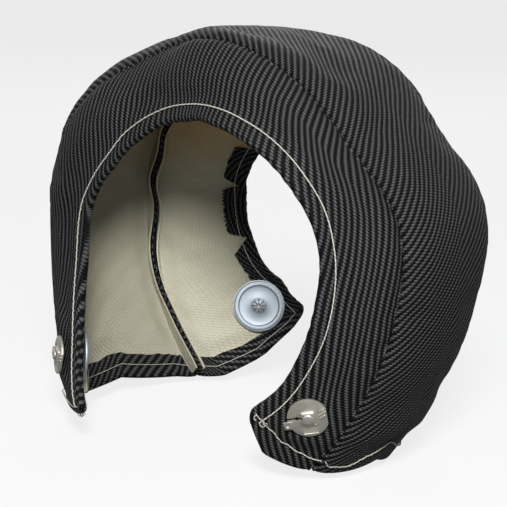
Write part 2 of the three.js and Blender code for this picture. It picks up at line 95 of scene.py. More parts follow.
END_THREAD_INSET = np.array([7.3, 10.1, 13.1, 14.9, 11.7, 9.6, 9.3, 5.8, 5.2, 8.5, 10.5, 9.0, 7.0])
NOSE = 2.05
CORNER = 7.0
NOTCHES = np.array([90.0, 140, 191, 242, 293, 344, 395, 446, 497])
NOTCH_HALF = 7.5
NOTCH_REACH = 22.0
NOTCH_APEX = 2.4


# Shape of the ring
def along(values, angle):
    """Smooth curve through one value for each station."""
    values = np.asarray(values, float)
    last = len(STATIONS) - 1
    before = np.maximum(np.arange(last + 1) - 1, 0)
    after = np.minimum(np.arange(last + 1) + 1, last)
    slopes = (values[after] - values[before]) / (STATIONS[after] - STATIONS[before])
    i = np.searchsorted(STATIONS[1:-1], angle)
    span = STATIONS[i + 1] - STATIONS[i]
    t = (angle - STATIONS[i]) / span
    rise = values[i + 1] - values[i]
    leave = slopes[i] * span
    arrive = slopes[i + 1] * span
    return values[i] + t * (leave + t * (3 * rise - 2 * leave - arrive + t * (leave + arrive - 2 * rise)))


def between(places, values, place):
    """Straight steps between values given at rising places."""
    i = np.searchsorted(places[1:-1], place)
    t = (place - places[i]) / (places[i + 1] - places[i])
    return values[i] + t * (values[i + 1] - values[i])


def smooth(value):
    t = np.clip(value, 0, 1)
    return t * t * (3 - 2 * t)


def smooth_between(places, values, place):
    """Value that eases from each given place to the next."""
    index = np.clip(np.searchsorted(places, place, "right") - 1, 0, len(places) - 2)
    share = smooth((place - places[index]) / (places[index + 1] - places[index]))
    return values[index] + (values[index + 1] - values[index]) * share


def spread(place, pattern, real, margin):
    """A length on the pattern keeps its millimetres near both ends and stretches in between."""
    share = (place - margin) / (pattern - 2 * margin)
    middle = margin + share * (real - 2 * margin)
    far = real - (pattern - place)
    return np.where(place <= margin, place, np.where(place >= pattern - margin, far, middle))


class Panel:
    """One sewn panel, with the section place where it starts and its direction."""

    def __init__(self, name, seam, start, step, length, hand):
        self.name = name
        self.seam = seam
        self.start = start
        self.step = step
        self.length = length
        self.hand = hand
        self.mitres = []
        self.outer_puff = None
        self.inner_puff = None


FRONT = Panel("front_side", FRONT_SEAM, 1, -1, SIDE, 1)
REAR = Panel("rear_side", REAR_SEAM, 2, 1, SIDE, -1)
RIMBAND = Panel("rim", None, 1, 1, RIM, -1)
FRONT.mitres = [(0.0, RIMBAND, 0.0)]
REAR.mitres = [(0.0, RIMBAND, RIM)]
RIMBAND.mitres = [(0.0, FRONT, 0.0), (RIM, REAR, 0.0)]


def angle_at(panel, u, s):
    """Angle round the ring of a pattern place, from the top."""
    section = panel.start + panel.step * s / panel.length
    left = between(SECTION_PLACES, LEFT_ENDS, section)
    right = between(SECTION_PLACES, RIGHT_ENDS, section)
    arc = np.radians(left + right) * RING_RADIUS
    return -left + np.degrees(spread(u, ARC, arc, 2 * HEM) / RING_RADIUS)


def seam_point(seam, angle):
    radius = RING_RADIUS + along(seam["radius"], angle)
    y = seam["side"] * RING_DEPTH / 2 + along(seam["place"], angle)
    return np.stack([radius * np.sin(np.radians(angle)), y, radius * np.cos(np.radians(angle))], -1)


def unit(vectors):
    return vectors / np.linalg.norm(vectors, axis=-1, keepdims=True)


def flat_point(panel, u, s):
    """Point of the outer surface before the padding swells it."""
    angle = angle_at(panel, u, s)
    if panel.seam is None:
        front = seam_point(FRONT_SEAM, angle)
        rear = seam_point(REAR_SEAM, angle)
        width = np.linalg.norm(rear - front, axis=-1)
        t = spread(s, panel.length, width, SOFTENING) / width
        radial = np.stack([np.sin(np.radians(angle)), 0 * angle, np.cos(np.radians(angle))], -1)
        bulge = 4 * t * (1 - t) * along(RIM_BULGE, angle)
        return front + (rear - front) * t[..., None] + radial * bulge[..., None]
    seam = panel.seam
    start = seam_point(seam, angle)
    ahead = seam_point(seam, angle + 0.5) - seam_point(seam, angle - 0.5)
    inward = unit(np.stack([ahead[..., 2], 0 * angle, -ahead[..., 0]], -1))
    tilt = np.radians(along(seam["lean"], angle))
    width = along(seam["width"], angle)
    reach = spread(s, panel.length, width, SOFTENING)
    t = reach / width
    bow = 4 * t * (1 - t) * PANEL_BOW
    point = start + inward * (reach * np.cos(tilt) - bow * np.sin(tilt))[..., None]
    point[..., 1] += seam["side"] * (reach * np.sin(tilt) + bow * np.cos(tilt))
    return point


def inward_normal(panel, u, s):
    """Direction into the blanket, square to the surface."""
    step = 0.5
    ring = flat_point(panel, u + step, s) - flat_point(panel, u - step, s)
    across = flat_point(panel, u, s + step) - flat_point(panel, u, s - step)
    return unit(np.cross(ring, across) * panel.hand)


def depth_direction(panel, u, s):
    """The normal, turned towards the seam's ridge close to a seam."""
    direction = inward_normal(panel, u, s)
    for at, neighbour, neighbour_at in panel.mitres:
        own = inward_normal(panel, u, np.full_like(u, at))
        other = inward_normal(neighbour, u, np.full_like(u, neighbour_at))
        middle = unit(own + other)
        middle = middle / np.sum(middle * own, -1, keepdims=True)
        share = smooth((np.abs(s - at) - RIDGE_FOOT) / (SOFTENING - RIDGE_FOOT))[..., None]
        direction = middle + (direction - middle) * share
    return direction


def to_seam(panel, s):
    return np.minimum(s, RIM - s) if panel is RIMBAND else s


def mat_at(panel, u, s):
    """Thickness of the insulation, thin at the hems and less full at the seams."""
    edge = np.full_like(s, 1e3) if panel is RIMBAND else panel.length - s
    end = np.minimum(u, ARC - u)
    full = MAT_AT_SEAM + (MAT_FULL - MAT_AT_SEAM) * smooth((to_seam(panel, s) - 2) / 14)
    share = np.minimum(smooth((edge - HEM) / 12), smooth((end - HEM) / 12))
    return MAT_AT_HEM + (full - MAT_AT_HEM) * share


def ripple(place, length, seed, lines=5):
    """Uneven wave of about the given length, between -1 and 1."""
    numbers = np.random.default_rng(seed)
    total = 0 * place
    for _ in range(lines):
        pitch = length * numbers.uniform(0.65, 1.6)
        total = total + np.sin(2 * np.pi * (place / pitch + numbers.uniform(0, 1)))
    return total / lines * 1.4


def liner_foot(panel, u, s):
    return 2 * LAYER_GAP + COVER + LINER + mat_at(panel, u, s)


def ridge_height(u):
    return ALLOWANCE + ALLOWANCE_SWELL * np.sin(2 * np.pi * u / SWELL_LENGTH)


def place(panel, u, s, depth):
    """Point of the blanket in the ring's frame, in millimetres."""
    u, s, depth = np.broadcast_arrays(np.asarray(u, float), s, depth)
    point = flat_point(panel, u, s)
    direction = depth_direction(panel, u, s)
    foot = liner_foot(panel, u, s)
    rear = panel is REAR or panel is RIMBAND
    at_rear = (s > RIM / 2) if panel is RIMBAND else np.full(s.shape, rear)
    wide = np.where(at_rear, REAR_SWAY, FRONT_SWAY)
    sway = wide * np.sin(2 * np.pi * u / SWAY_LENGTH)
    sway = sway + np.where(at_rear, 3.0, 0.9) * ripple(u, 42, 71)
    above = np.clip((depth - foot) / ridge_height(u), 0, 1.2)
    point[..., 1] += np.where(to_seam(panel, s) < RIDGE_FOOT, sway * above, 0)
    swell = SWELL * (MAT_AT_HEM - mat_at(panel, u, s))
    return point + direction * (depth + swell)[..., None]


def in_part(points):
    """From the ring's frame in millimetres to the part's frame in metres."""
    return (points + RING_CENTRE) / 1000


# Meshes of cloth
def new_object(name, points, faces, pattern=None, closed=True):
    """Mesh object at the origin, with its pattern as a UV map in units of 100 mm."""
    mesh = bpy.data.meshes.new(name)
    mesh.from_pydata([tuple(p) for p in points], [], [tuple(f) for f in faces])
    if pattern is not None:
        layer = mesh.uv_layers.new(name="pattern")
        loops = np.empty(len(mesh.loops), np.int32)
        mesh.loops.foreach_get("vertex_index", loops)
        layer.data.foreach_set("uv", (np.asarray(pattern)[loops] / 100).ravel())
    mesh.validate()
    mesh.update()
    piece = bpy.data.objects.new(name, mesh)
    bpy.context.scene.collection.objects.link(piece)
    return piece


def apply_modifiers(piece):
    bpy.ops.object.select_all(action="DESELECT")
    bpy.context.view_layer.objects.active = piece
    piece.select_set(True)
    for modifier in list(piece.modifiers):
        bpy.ops.object.modifier_apply(modifier=modifier.name)
    piece.select_set(False)


def thicken(piece, thickness):
    """Gives a surface of cloth its thickness, half on each side."""
    solid = piece.modifiers.new("thickness", "SOLIDIFY")
    solid.thickness = thickness / 1000
    solid.offset = 0
    solid.use_even_offset = False
    apply_modifiers(piece)
    return piece


def smooth_shading(piece, angle=55):
    bpy.ops.object.select_all(action="DESELECT")
    bpy.context.view_layer.objects.active = piece
    piece.select_set(True)
    bpy.ops.object.shade_smooth_by_angle(angle=math.radians(angle))
    piece.select_set(False)


def flat_pattern(panel, u, s, path):
    """Where a point lies in the cloth as it was cut: a ring sector for the sides, a strip for the rim."""
    if panel is RIMBAND:
        return np.stack([u * 1.0, path], -1)
    angle = np.radians(angle_at(panel, u, np.clip(s, 0, SIDE)))
    across = np.linalg.norm(flat_point(panel, u, SIDE + 0 * u) - flat_point(panel, u, 0 * u), axis=-1) / SIDE
    radius = RING_RADIUS - 0.92 * across * path
    return np.stack([radius * np.sin(angle), radius * np.cos(angle)], -1)


# Cloth simulation: the padding pushes the outer skins out and the liners in
def puff_grid(panel, inside):
    us = np.linspace(0, ARC, 125)
    ss = np.linspace(0, panel.length, 19 if panel is RIMBAND else 11)
    u, s = np.meshgrid(us, ss, indexing="ij")
    depth = liner_foot(panel, u, s) if inside else np.zeros_like(u)
    return us, ss, u, s, place(panel, u, s, depth)


def simulate_padding():
    """Runs one cloth simulation for all skins and keeps how far each point moved along its normal."""
    jobs = [(FRONT, False), (REAR, False), (RIMBAND, False), (REAR, True), (RIMBAND, True)]
    points = []
    faces = []
    held = []
    grids = []
    for panel, inside in jobs:
        us, ss, u, s, at = puff_grid(panel, inside)
        base = len(points)
        count = len(ss)
        points.extend(in_part(at).reshape(-1, 3))
        edge = to_seam(panel, s)
        end = np.minimum(u, ARC - u)
        pin = (edge < 2) | (end < THREAD_INSET + 1)
        if panel is not RIMBAND:
            pin |= s > SIDE - THREAD_INSET - 1
            inset, across = (36, 23) if panel is FRONT else (33, 28)
            pin |= np.hypot(end - inset, s - across) < 13
        held.extend((base + np.flatnonzero(pin.ravel())).tolist())
        flip = (panel.hand > 0) != inside
        for i in range(len(us) - 1):
            for j in range(count - 1):
                a = base + i * count + j
                ring = [a, a + 1, a + count + 1, a + count]
                faces.append(ring if flip else ring[::-1])
        grids.append((panel, inside, us, ss, u, s, base))
    skin = new_object("padding_study", points, faces)
    group = skin.vertex_groups.new(name="held")
    group.add(held, 1.0, "REPLACE")
    cloth = skin.modifiers.new("cloth", "CLOTH")
    settings = cloth.settings
    settings.vertex_group_mass = "held"
    settings.quality = 6
    settings.mass = 0.25
    settings.tension_stiffness = 12
    settings.compression_stiffness = 12
    settings.shear_stiffness = 4
    settings.bending_stiffness = 0.35
    settings.shrink_min = -0.022
    settings.use_pressure = True
    settings.uniform_pressure_force = 3.0
    settings.effector_weights.gravity = 0
    settings.air_damping = 2
    cloth.collision_settings.use_collision = False
    scene = bpy.context.scene
    for number in range(1, 19):
        scene.frame_set(number)
    apply_modifiers(skin)
    moved = np.empty(len(skin.data.vertices) * 3)
    skin.data.vertices.foreach_get("co", moved)
    moved = moved.reshape(-1, 3) * 1000 - RING_CENTRE
    start = np.array(points) * 1000 - RING_CENTRE
    scene.frame_set(1)
    for panel, inside, us, ss, u, s, base in grids:
        size = u.size
        shift = (moved[base:base + size] - start[base:base + size]).reshape(u.shape + (3,))
        out = np.sum(shift * inward_normal(panel, u, s), -1) * (1 if inside else -1)
        out = np.clip(out, 0.0 if inside else -0.5, 1.6 if inside else 3.2)
        for _ in range(10 if inside else 1):
            out[1:-1] = out[1:-1] * 0.6 + (out[2:] + out[:-2]) * 0.2
            out[:, 1:-1] = out[:, 1:-1] * 0.6 + (out[:, 2:] + out[:, :-2]) * 0.2
        if inside:
            panel.inner_puff = (us, ss, out)
        else:
            panel.outer_puff = (us, ss, out)
    bpy.data.objects.remove(skin)


def cubic(values, at, axis):
    """Smooth curve through evenly spaced values, at fractional places along one axis."""
    count = values.shape[axis]
    i = np.clip(np.floor(at).astype(int), 0, count - 2)
    t = at - i
    taps = [np.take(values, np.clip(i + k, 0, count - 1), axis) for k in (-1, 0, 1, 2)]
    shape = [1, 1]
    shape[axis] = -1
    t = t.reshape(shape)
    first = 0.5 * (taps[2] - taps[0])
    second = 0.5 * (taps[3] - taps[1])
    rise = taps[2] - taps[1]
    return taps[1] + t * (first + t * (3 * rise - 2 * first - second + t * (first + second - 2 * rise)))


def puff(study, us, ss):
    """Swelling of a simulated skin at the lines of a finer grid."""
    if study is None:
        return np.zeros((len(us), len(ss)))
    coarse_u, coarse_s, out = study
    at_u = np.clip(us / coarse_u[1], 0, len(coarse_u) - 1)
    at_s = np.clip(ss / coarse_s[1], 0, len(coarse_s) - 1)
    return cubic(cubic(out, at_u, 0), at_s, 1)


simulate_padding()

# Lines of the finished grids
NEAR_EDGE = [0.0, 0.12, 0.42, 0.85, 1.4, 2.1, 3.0, 4.0, 5.0, 5.6, 6.4, 7.0, 8.5, 10.0, 11.5, 13.0, 15.0, 17.0]


def ring_lines(step=2.4):
    """Places along the ring, close together at both ends and meeting every notch."""
    near = np.array(NEAR_EDGE)
    count = int(round((ARC - 2 * near[-1]) / step))
    middle = np.linspace(near[-1], ARC - near[-1], count + 1)
    for notch in NOTCHES:
        middle[np.argmin(np.abs(middle - notch))] = notch
    return np.concatenate([near[:-1], middle, (ARC - near[:-1])[::-1]])


def rounded(panel, u, s):
    """Rounds the corners of a side panel and gives each point's distance from the finished edge."""
    if panel is RIMBAND:
        return u, s, np.minimum(u, ARC - u)
    end = np.minimum(u, ARC - u)
    edge = SIDE - s
    a = np.clip((CORNER - end) / CORNER, 0, 1)
    b = np.clip((CORNER - edge) / CORNER, 0, 1)
    new_a = a * np.sqrt(1 - b * b / 2)
    new_b = b * np.sqrt(1 - a * a / 2)
    in_corner = (a > 0) & (b > 0)
    new_end = np.where(in_corner, CORNER * (1 - new_a), end)
    new_edge = np.where(in_corner, CORNER * (1 - new_b), edge)
    distance = np.where(in_corner, CORNER * (1 - np.hypot(new_a, new_b)), np.minimum(end, edge))
    return np.where(u < ARC / 2, new_end, ARC - new_end), SIDE - new_edge, np.maximum(distance, 0)


def nose_depth(distance, inner):
    """Depth of the folded cover's middle, turning round at the finished edge."""
    x = np.clip(1 - distance / NOSE, 0, 1)
    turn = NOSE * (1 - np.sqrt(np.clip(1 - x * x, 0, 1)))
    return 2 * NOSE - turn if inner else turn


def edge_wander(panel, u, s, seed):
    """Hand-sewn edges are never quite straight."""
    share = smooth((s - (SIDE - 9)) / 9)
    return share * (0.5 * ripple(u, 34, seed) + 0.22 * ripple(u, 8, seed + 1))


def from_sewing(u, s, panel):
    """Distance of a place from the nearest line of sewing."""
    way = SIDE - s if panel is FRONT else SIDE + s if panel is RIMBAND else SIDE + RIM + s
    line = np.minimum(u - THREAD_INSET, ARC - u - smooth_between(END_THREAD_AT, END_THREAD_INSET, way))
    near = np.minimum(np.abs(u - THREAD_INSET), np.abs(line))
    if panel is not RIMBAND:
        inset = smooth_between(THREAD_AT, THREAD_FROM_EDGE, u) if panel is FRONT else THREAD_INSET
        line = np.minimum(line, SIDE - s - inset)
        near = np.minimum(near, np.abs(SIDE - s - inset))
    return near, line


def stitch_groove(u, s, panel):
    """Dimple of the cloth along the lines of sewing."""
    return 0.35 * np.exp(-(from_sewing(u, s, panel)[0] / 0.9) ** 2)


def seam_pucker(u, s, seed):
    """Small gathers that run out from a seam."""
    wave = ripple(u, 11, seed) + 0.6 * ripple(u, 5.5, seed + 5)
    return 0.5 * wave * np.exp(-s / 5.0)


def section(panel):
    """Lines across a cover: ridge, turn into the valley, panel."""
    roll = 3.0
    ridge = [(COVER_PLY, 1.0 - 0.2 * k, None) for k in range(6)]
    wall = [(COVER_PLY, None, 0.5 + roll + drop) for drop in (1.8, 0.8)]
    turn = []
    for k in range(6):
        angle = math.radians(18 * k)
        turn.append((COVER_PLY + roll * (1 - math.cos(angle)), None, 0.5 + roll * (1 - math.sin(angle))))
    if panel is RIMBAND:
        panel_lines = np.concatenate([[4.6, 5.6, 6.8, 8.2], np.linspace(10, RIM / 2, 12)])
        half = ridge + wall + turn + [(x, None, 0.5) for x in panel_lines]
        other = [(RIM - s, share, depth) for s, share, depth in half[:-1]]
        return half + other[::-1]
    near = SIDE - np.array(NEAR_EDGE)[::-1]
    panel_lines = np.concatenate([[4.6, 5.6, 6.8, 8.2], np.linspace(10, near[0] - 2.2, 8)])
    return ridge + wall + turn + [(x, None, 0.5) for x in list(panel_lines) + list(near)]


def build_cover(panel, seed):
    """Cover of one panel: ridge, face, rolled nose and the hems folded to the inside."""
    us = ring_lines()
    lines = section(panel)
    ss = np.array([line[0] for line in lines])
    u, s = np.meshgrid(us, ss, indexing="ij")
    new_u, new_s, distance = rounded(panel, u, s)
    depth = np.empty_like(u)
    seam_distance = to_seam(panel, s)
    swelling = puff(panel.outer_puff, us, ss)
    for j, (_, share, level) in enumerate(lines):
        if share is not None:
            foot = liner_foot(panel, us, np.full_like(us, ss[j]))
            depth[:, j] = foot + share * (ridge_height(us) + 0.5)
        else:
            depth[:, j] = level
    face = seam_distance > COVER_PLY + 0.6
    new_u = np.where(face, new_u, np.clip(new_u, 0.6, ARC - 0.6))
    gather = seam_pucker(u, seam_distance, seed if panel is not REAR else seed + 9)
    lift = swelling + gather + 0.22 * ripple(u * 0.8 + s * 1.3, 21, seed + 2) * smooth(seam_distance / 12)
    loose = smooth((from_sewing(new_u, new_s, panel)[1] - 1) / 9)
    depth = depth - np.where(face, lift * loose, 0)
    depth = depth + np.where(face, nose_depth(distance, False) + stitch_groove(new_u, new_s, panel), 0)
    depth = depth + np.where(face, 1.2 * np.exp(-(seam_distance / 4.5) ** 2), 0)
    shifted = new_s + (edge_wander(panel, new_u, new_s, seed + 3) if panel is not RIMBAND else 0)
    outer = place(panel, new_u, shifted, depth)
    path = np.where(face, new_s, COVER_PLY - (depth - 2.8) * 1.0)
    if panel is RIMBAND:
        far = new_s > RIM / 2
        path = np.where(face, new_s, np.where(far, RIM - COVER_PLY + (depth - 2.8), COVER_PLY - (depth - 2.8)))
    points = list(outer.reshape(-1, 3))
    pattern = list(flat_pattern(panel, new_u, new_s, path).reshape(-1, 2))
    rows = len(ss)
    faces = []
    for i in range(len(us) - 1):
        for j in range(rows - 1):
            a = i * rows + j
            faces.append([a, a + rows, a + rows + 1, a + 1])
    fold_hem(panel, us, ss, u, s, points, pattern, faces, seed)
    if panel.hand > 0:
        faces = [ring[::-1] for ring in faces]
    piece = new_object(panel.name + "_cover_cloth", in_part(np.array(points)), faces, np.array(pattern))
    thicken(piece, 0.9)
    smooth_shading(piece)
    return piece


def fold_hem(panel, us, ss, u, s, points, pattern, faces, seed):
    """Adds the hem that is folded over to the inside, with its clipped tabs, to a cover's grid."""
    numbers = np.random.default_rng(seed + 40)
    rows = len(ss)
    notches = [] if panel is RIMBAND else list(NOTCHES)
    tab_lift = numbers.uniform(0.0, 1.0, len(notches) + 1)
    limit = 3.4
    new_u, new_s, distance = rounded(panel, u, s)
    copies = {}
    boundary = np.zeros(u.shape, bool)
    boundary[0] = boundary[-1] = True
    if panel is not RIMBAND:
        boundary[:, -1] = True

    def hem_point(i, j, hand):
        """Index of an inner point; hand is -1 or 1 beside a notch and 0 elsewhere."""
        if boundary[i, j]:
            return i * rows + j
        key = (i, j, hand)
        if key in copies:
            return copies[key]
        at_u = new_u[i, j]
        at_s = new_s[i, j]
        off = distance[i, j]
        end = min(at_u, ARC - at_u)
        edge = SIDE - at_s if panel is not RIMBAND else 1e3
        lift = 0.0
        if edge < end:
            opened = max(off - NOTCH_APEX, 0) / (HEM - NOTCH_APEX)
            for notch in notches:
                gap = at_u - notch
                if abs(gap) < NOTCH_REACH:
                    sign = hand if abs(gap) < 1e-6 else math.copysign(1, gap)
                    at_u += sign * NOTCH_HALF * opened * (1 - abs(gap) / NOTCH_REACH)
            tab = int(np.searchsorted(notches, new_u[i, j] + 1e-6 * (hand or 1)))
            lift = tab_lift[min(tab, len(tab_lift) - 1)] * opened ** 2
            if off > HEM - 0.1:
                at_s += 0.7 * math.sin(at_u * 1.9 + seed) + numbers.uniform(-0.3, 0.3)
        elif off > HEM - 0.1:
            at_u += (1 if at_u < ARC / 2 else -1) * numbers.uniform(-0.6, 0.6)
        base = float(nose_depth(np.array(off), True)) + 0.5
        mat = float(mat_at(panel, np.array([at_u]), np.array([at_s]))[0])
        depth = base + (mat - MAT_AT_HEM) + lift
        inset = stitch_groove(np.array([new_u[i, j]]), np.array([new_s[i, j]]), panel)[0]
        wander = edge_wander(panel, np.array([at_u]), np.array([at_s]), seed + 3)[0] if panel is not RIMBAND else 0
        copies[key] = len(points)
        spots.append((at_u, at_s + wander, depth - inset, off, new_u[i, j], new_s[i, j]))
        points.append(None)
        pattern.append(None)
        return copies[key]

    spots = []
    first = len(points)
    for i in range(len(us) - 1):
        for j in range(rows - 1):
            corners = [(i, j), (i + 1, j), (i + 1, j + 1), (i, j + 1)]
            if min(to_seam(panel, new_s[c]) for c in corners) < limit:
                continue
            if max(distance[c] for c in corners) > HEM + 0.05:
                continue
            ring = []
            for at in corners:
                hand = 0
                for notch in notches:
                    near = abs(us[at[0]] - notch) < 1e-6 and distance[at] > NOTCH_APEX
                    if near and SIDE - new_s[at] < min(new_u[at], ARC - new_u[at]):
                        hand = 1 if at[0] == i else -1
                ring.append(hem_point(at[0], at[1], hand))
            faces.append(ring[::-1])
    if not spots:
        return
    data = np.array(spots)
    placed = place(panel, data[:, 0], data[:, 1], data[:, 2])
    if panel is RIMBAND:
        flat = flat_pattern(panel, np.where(data[:, 4] < ARC / 2, -data[:, 3], ARC + data[:, 3]), data[:, 1], data[:, 1])
    else:
        end = np.minimum(data[:, 4], ARC - data[:, 4])
        at_edge = SIDE - data[:, 5] < end
        sign = np.where(data[:, 4] < ARC / 2, -1.0, 1.0)
        along_u = np.where(at_edge, data[:, 4], data[:, 4] + sign * 2 * data[:, 3])
        flat = flat_pattern(panel, along_u, data[:, 5], np.where(at_edge, SIDE + data[:, 3], data[:, 5]))
    points[first:] = list(placed)
    pattern[first:] = list(flat)


def build_liner(panel, seed):
    """Cream liner of one panel with its seam allowance standing inward."""
    inner = COVER + LAYER_GAP + 0.5
    us = np.linspace(inner, ARC - inner, 221)
    roll = 1.2
    ridge = [(LINER_PLY, 1.0 - 0.2 * k, 0.0) for k in range(5)]
    turn = []
    for k in range(5):
        angle = math.radians(22.5 * k)
        turn.append((LINER_PLY + roll * (1 - math.cos(angle)), None, roll * (1 - math.sin(angle))))
    if panel is RIMBAND:
        half = ridge + turn + [(x, None, 0.0) for x in np.linspace(5, RIM / 2, 15)]
        lines = half + [(RIM - s, share, rise) for s, share, rise in half[:-1]][::-1]
    else:
        lines = ridge + turn + [(x, None, 0.0) for x in np.linspace(5, SIDE - inner, 18)]
    ss = np.array([line[0] for line in lines])
    u, s = np.meshgrid(us, ss, indexing="ij")
    swelling = puff(panel.inner_puff, us, ss)
    edge = np.minimum(np.minimum(u, ARC - u), SIDE - s if panel is not RIMBAND else 1e3)
    loose = smooth((edge - HEM) / 6)
    depth = liner_foot(panel, u, s) - 0.5
    for j, (_, share, rise) in enumerate(lines):
        if share is not None:
            depth[:, j] += 0.5 + share * ridge_height(us)
        else:
            wave = 0.5 * ripple(us + 0.6 * ss[j], 26, seed) + 0.3 * ripple(us - ss[j], 11, seed + 1)
            gather = -seam_pucker(us, abs(to_seam(panel, ss[j])), seed + 2)
            depth[:, j] += rise + loose[:, j] * (swelling[:, j] + wave * smooth((to_seam(panel, ss[j]) - 3) / 8))
            depth[:, j] += loose[:, j] * gather
    points = place(panel, u, s, depth).reshape(-1, 3)
    on_ridge = to_seam(panel, s) < LINER_PLY + 0.3
    rise = depth - liner_foot(panel, u, s)
    path = np.where(on_ridge & (s < RIM / 2), LINER_PLY - rise, s)
    if panel is RIMBAND:
        path = np.where(on_ridge & (s > RIM / 2), RIM - LINER_PLY + rise, path)
    pattern = flat_pattern(panel, u, s, path).reshape(-1, 2)
    rows = len(ss)
    faces = []
    for i in range(len(us) - 1):
        for j in range(rows - 1):
            a = i * rows + j
            ring = [a, a + rows, a + rows + 1, a + 1]
            faces.append(ring[::-1] if panel.hand > 0 else ring)
    piece = new_object(panel.name + "_liner_cloth", in_part(points), faces, pattern)
    thicken(piece, 0.9)
    smooth_shading(piece)
    return piece


def build_mat(panel):
    """Needled mat between cover and liner, as one closed pad."""
    inner = COVER + LAYER_GAP + 0.6
    beside_seam = 6.5
    far = RIM - beside_seam if panel is RIMBAND else SIDE - inner
    us = np.linspace(inner, ARC - inner, 140)
    ss = np.linspace(beside_seam, far, 18)
    u, s = np.meshgrid(us, ss, indexing="ij")
    outer = np.full_like(u, COVER + 0.45)
    inside = COVER + 2 * LAYER_GAP + mat_at(panel, u, s) - 0.45
    points = [place(panel, u, s, outer).reshape(-1, 3), place(panel, u, s, inside).reshape(-1, 3)]
    rows = len(ss)
    size = u.size
    faces = []
    for i in range(len(us) - 1):
        for j in range(rows - 1):
            a = i * rows + j
            ring = [a, a + rows, a + rows + 1, a + 1]
            faces.append(ring)
            faces.append([k + size for k in ring[::-1]])
    rim_line = [i * rows for i in range(len(us))]
    rim_line += [(len(us) - 1) * rows + j for j in range(1, rows)]
    rim_line += [i * rows + rows - 1 for i in range(len(us) - 2, -1, -1)]
    rim_line += [j for j in range(rows - 2, 0, -1)]
    for a, b in zip(rim_line, rim_line[1:] + rim_line[:1]):
        faces.append([b, a, a + size, b + size])
    if panel.hand > 0:
        faces = [ring[::-1] for ring in faces]
    pattern = np.concatenate([flat_pattern(panel, u, s, s).reshape(-1, 2)] * 2)
    piece = new_object(panel.name + "_mat_pad", in_part(np.concatenate(points)), faces, pattern)
    smooth_shading(piece, 40)
    return piece


covers = {}
liners = {}
mats = {}
for panel, seed in ((FRONT, 11), (REAR, 23), (RIMBAND, 37)):
    covers[panel.name] = build_cover(panel, seed)
    liners[panel.name] = build_liner(panel, seed + 4)
    mats[panel.name] = build_mat(panel)


# Threads
def tube(path, radius, sides=6, twist=0.0):
    """Closed tube of quads along a path of points in millimetres."""
    path = np.asarray(path, float)
    ahead = np.gradient(path, axis=0)
    ahead = unit(ahead)
    side = np.cross(ahead[0], [0.3, 0.5, 0.81])
    side /= np.linalg.norm(side)
    rings = []
    for k, (at, forward) in enumerate(zip(path, ahead)):
        side = side - forward * np.dot(side, forward)
        side /= np.linalg.norm(side)
        up = np.cross(forward, side)
        size = radius[k] if hasattr(radius, "__len__") else radius
        for corner in range(sides):
            angle = 2 * math.pi * corner / sides + twist * k
            rings.append(at + size * (math.cos(angle) * side + math.sin(angle) * up))
    faces = []
    for k in range(len(path) - 1):
        for corner in range(sides):
            a = k * sides + corner
            b = k * sides + (corner + 1) % sides
            faces.append([a, b, b + sides, a + sides])
    faces.append(list(range(sides))[::-1])
    last = (len(path) - 1) * sides
    faces.append([last + corner for corner in range(sides)])
    return rings, faces


class Strands:
    """Several tubes gathered into one mesh."""

    def __init__(self):
        self.points = []
        self.faces = []
        self.pattern = []

    def add(self, path, radius, sides=6, twist=0.0):
        points, faces = tube(path, radius, sides, twist)
        base = len(self.points)
        steps = np.concatenate([[0], np.cumsum(np.linalg.norm(np.diff(path, axis=0), axis=1))])
        self.points.extend(points)
        self.faces.extend([[index + base for index in ring] for ring in faces])
        self.pattern.extend([(length, corner) for length in steps for corner in range(sides)])

    def build(self, name):
        piece = new_object(name, in_part(np.array(self.points)), self.faces, np.array(self.pattern, float))
        smooth_shading(piece, 80)
        return piece


STITCH = 4.6
THREAD_RADIUS = 0.36


def stitched(panel, u, s, inside):
    """Path of a thread that lies on the cloth and dips a little into it at every stitch."""
    face = liner_foot(panel, u, s) + COVER + LAYER_GAP if inside else np.zeros_like(u)
    at = place(panel, u, s, face)
    travelled = np.concatenate([[0], np.cumsum(np.linalg.norm(np.diff(at, axis=0), axis=1))])
    phase = np.abs((travelled / STITCH) % 1.0 - 0.5) * 2
    height = 0.62 - 0.5 * smooth(phase / 0.22 - 3.55)
    normal = inward_normal(panel, u, s)
    return at + normal * (height if inside else -height)[:, None]


def opening_line(panel, inside):
    """Stitches round the opening of a side panel."""
    u = np.arange(THREAD_INSET + 0.6, ARC - THREAD_INSET - 0.5, 0.62)
    inset = smooth_between(THREAD_AT, THREAD_FROM_EDGE, u) if panel is FRONT else THREAD_INSET
    s = SIDE - inset + edge_wander(panel, u, SIDE - inset + 0 * u, 14 if panel is FRONT else 26)
    return stitched(panel, u, s, inside)


def end_line(right, inside):
    """Stitches across the three panels at one end of the ring."""
    start = 3.6 if inside else 1.0
    runs = []
    for panel, a, b in ((FRONT, SIDE - 2.0, start), (RIMBAND, start, RIM - start), (REAR, start, SIDE - THREAD_INSET)):
        s = np.linspace(a, b, int(abs(b - a) / 0.6))
        way = SIDE - s if panel is FRONT else SIDE + s if panel is RIMBAND else SIDE + RIM + s
        inset = smooth_between(END_THREAD_AT, END_THREAD_INSET, way) if right else THREAD_INSET + 0 * s
        runs.append(stitched(panel, ARC - inset if right else inset, s, inside))
    return runs


threads = {}
for panel, name in ((FRONT, "front_opening_thread"), (REAR, "rear_opening_thread")):
    strands = Strands()
    strands.add(opening_line(panel, False), THREAD_RADIUS)
    strands.add(opening_line(panel, True), THREAD_RADIUS * 0.65)
    threads[name] = strands.build(name + "_sewn")
for right, name in ((False, "left_end_thread"), (True, "right_end_thread")):
    strands = Strands()
    for inside in (False, True):
        for run in end_line(right, inside):
            strands.add(run, THREAD_RADIUS * (0.65 if inside else 0.95))
    threads[name] = strands.build(name + "_sewn")


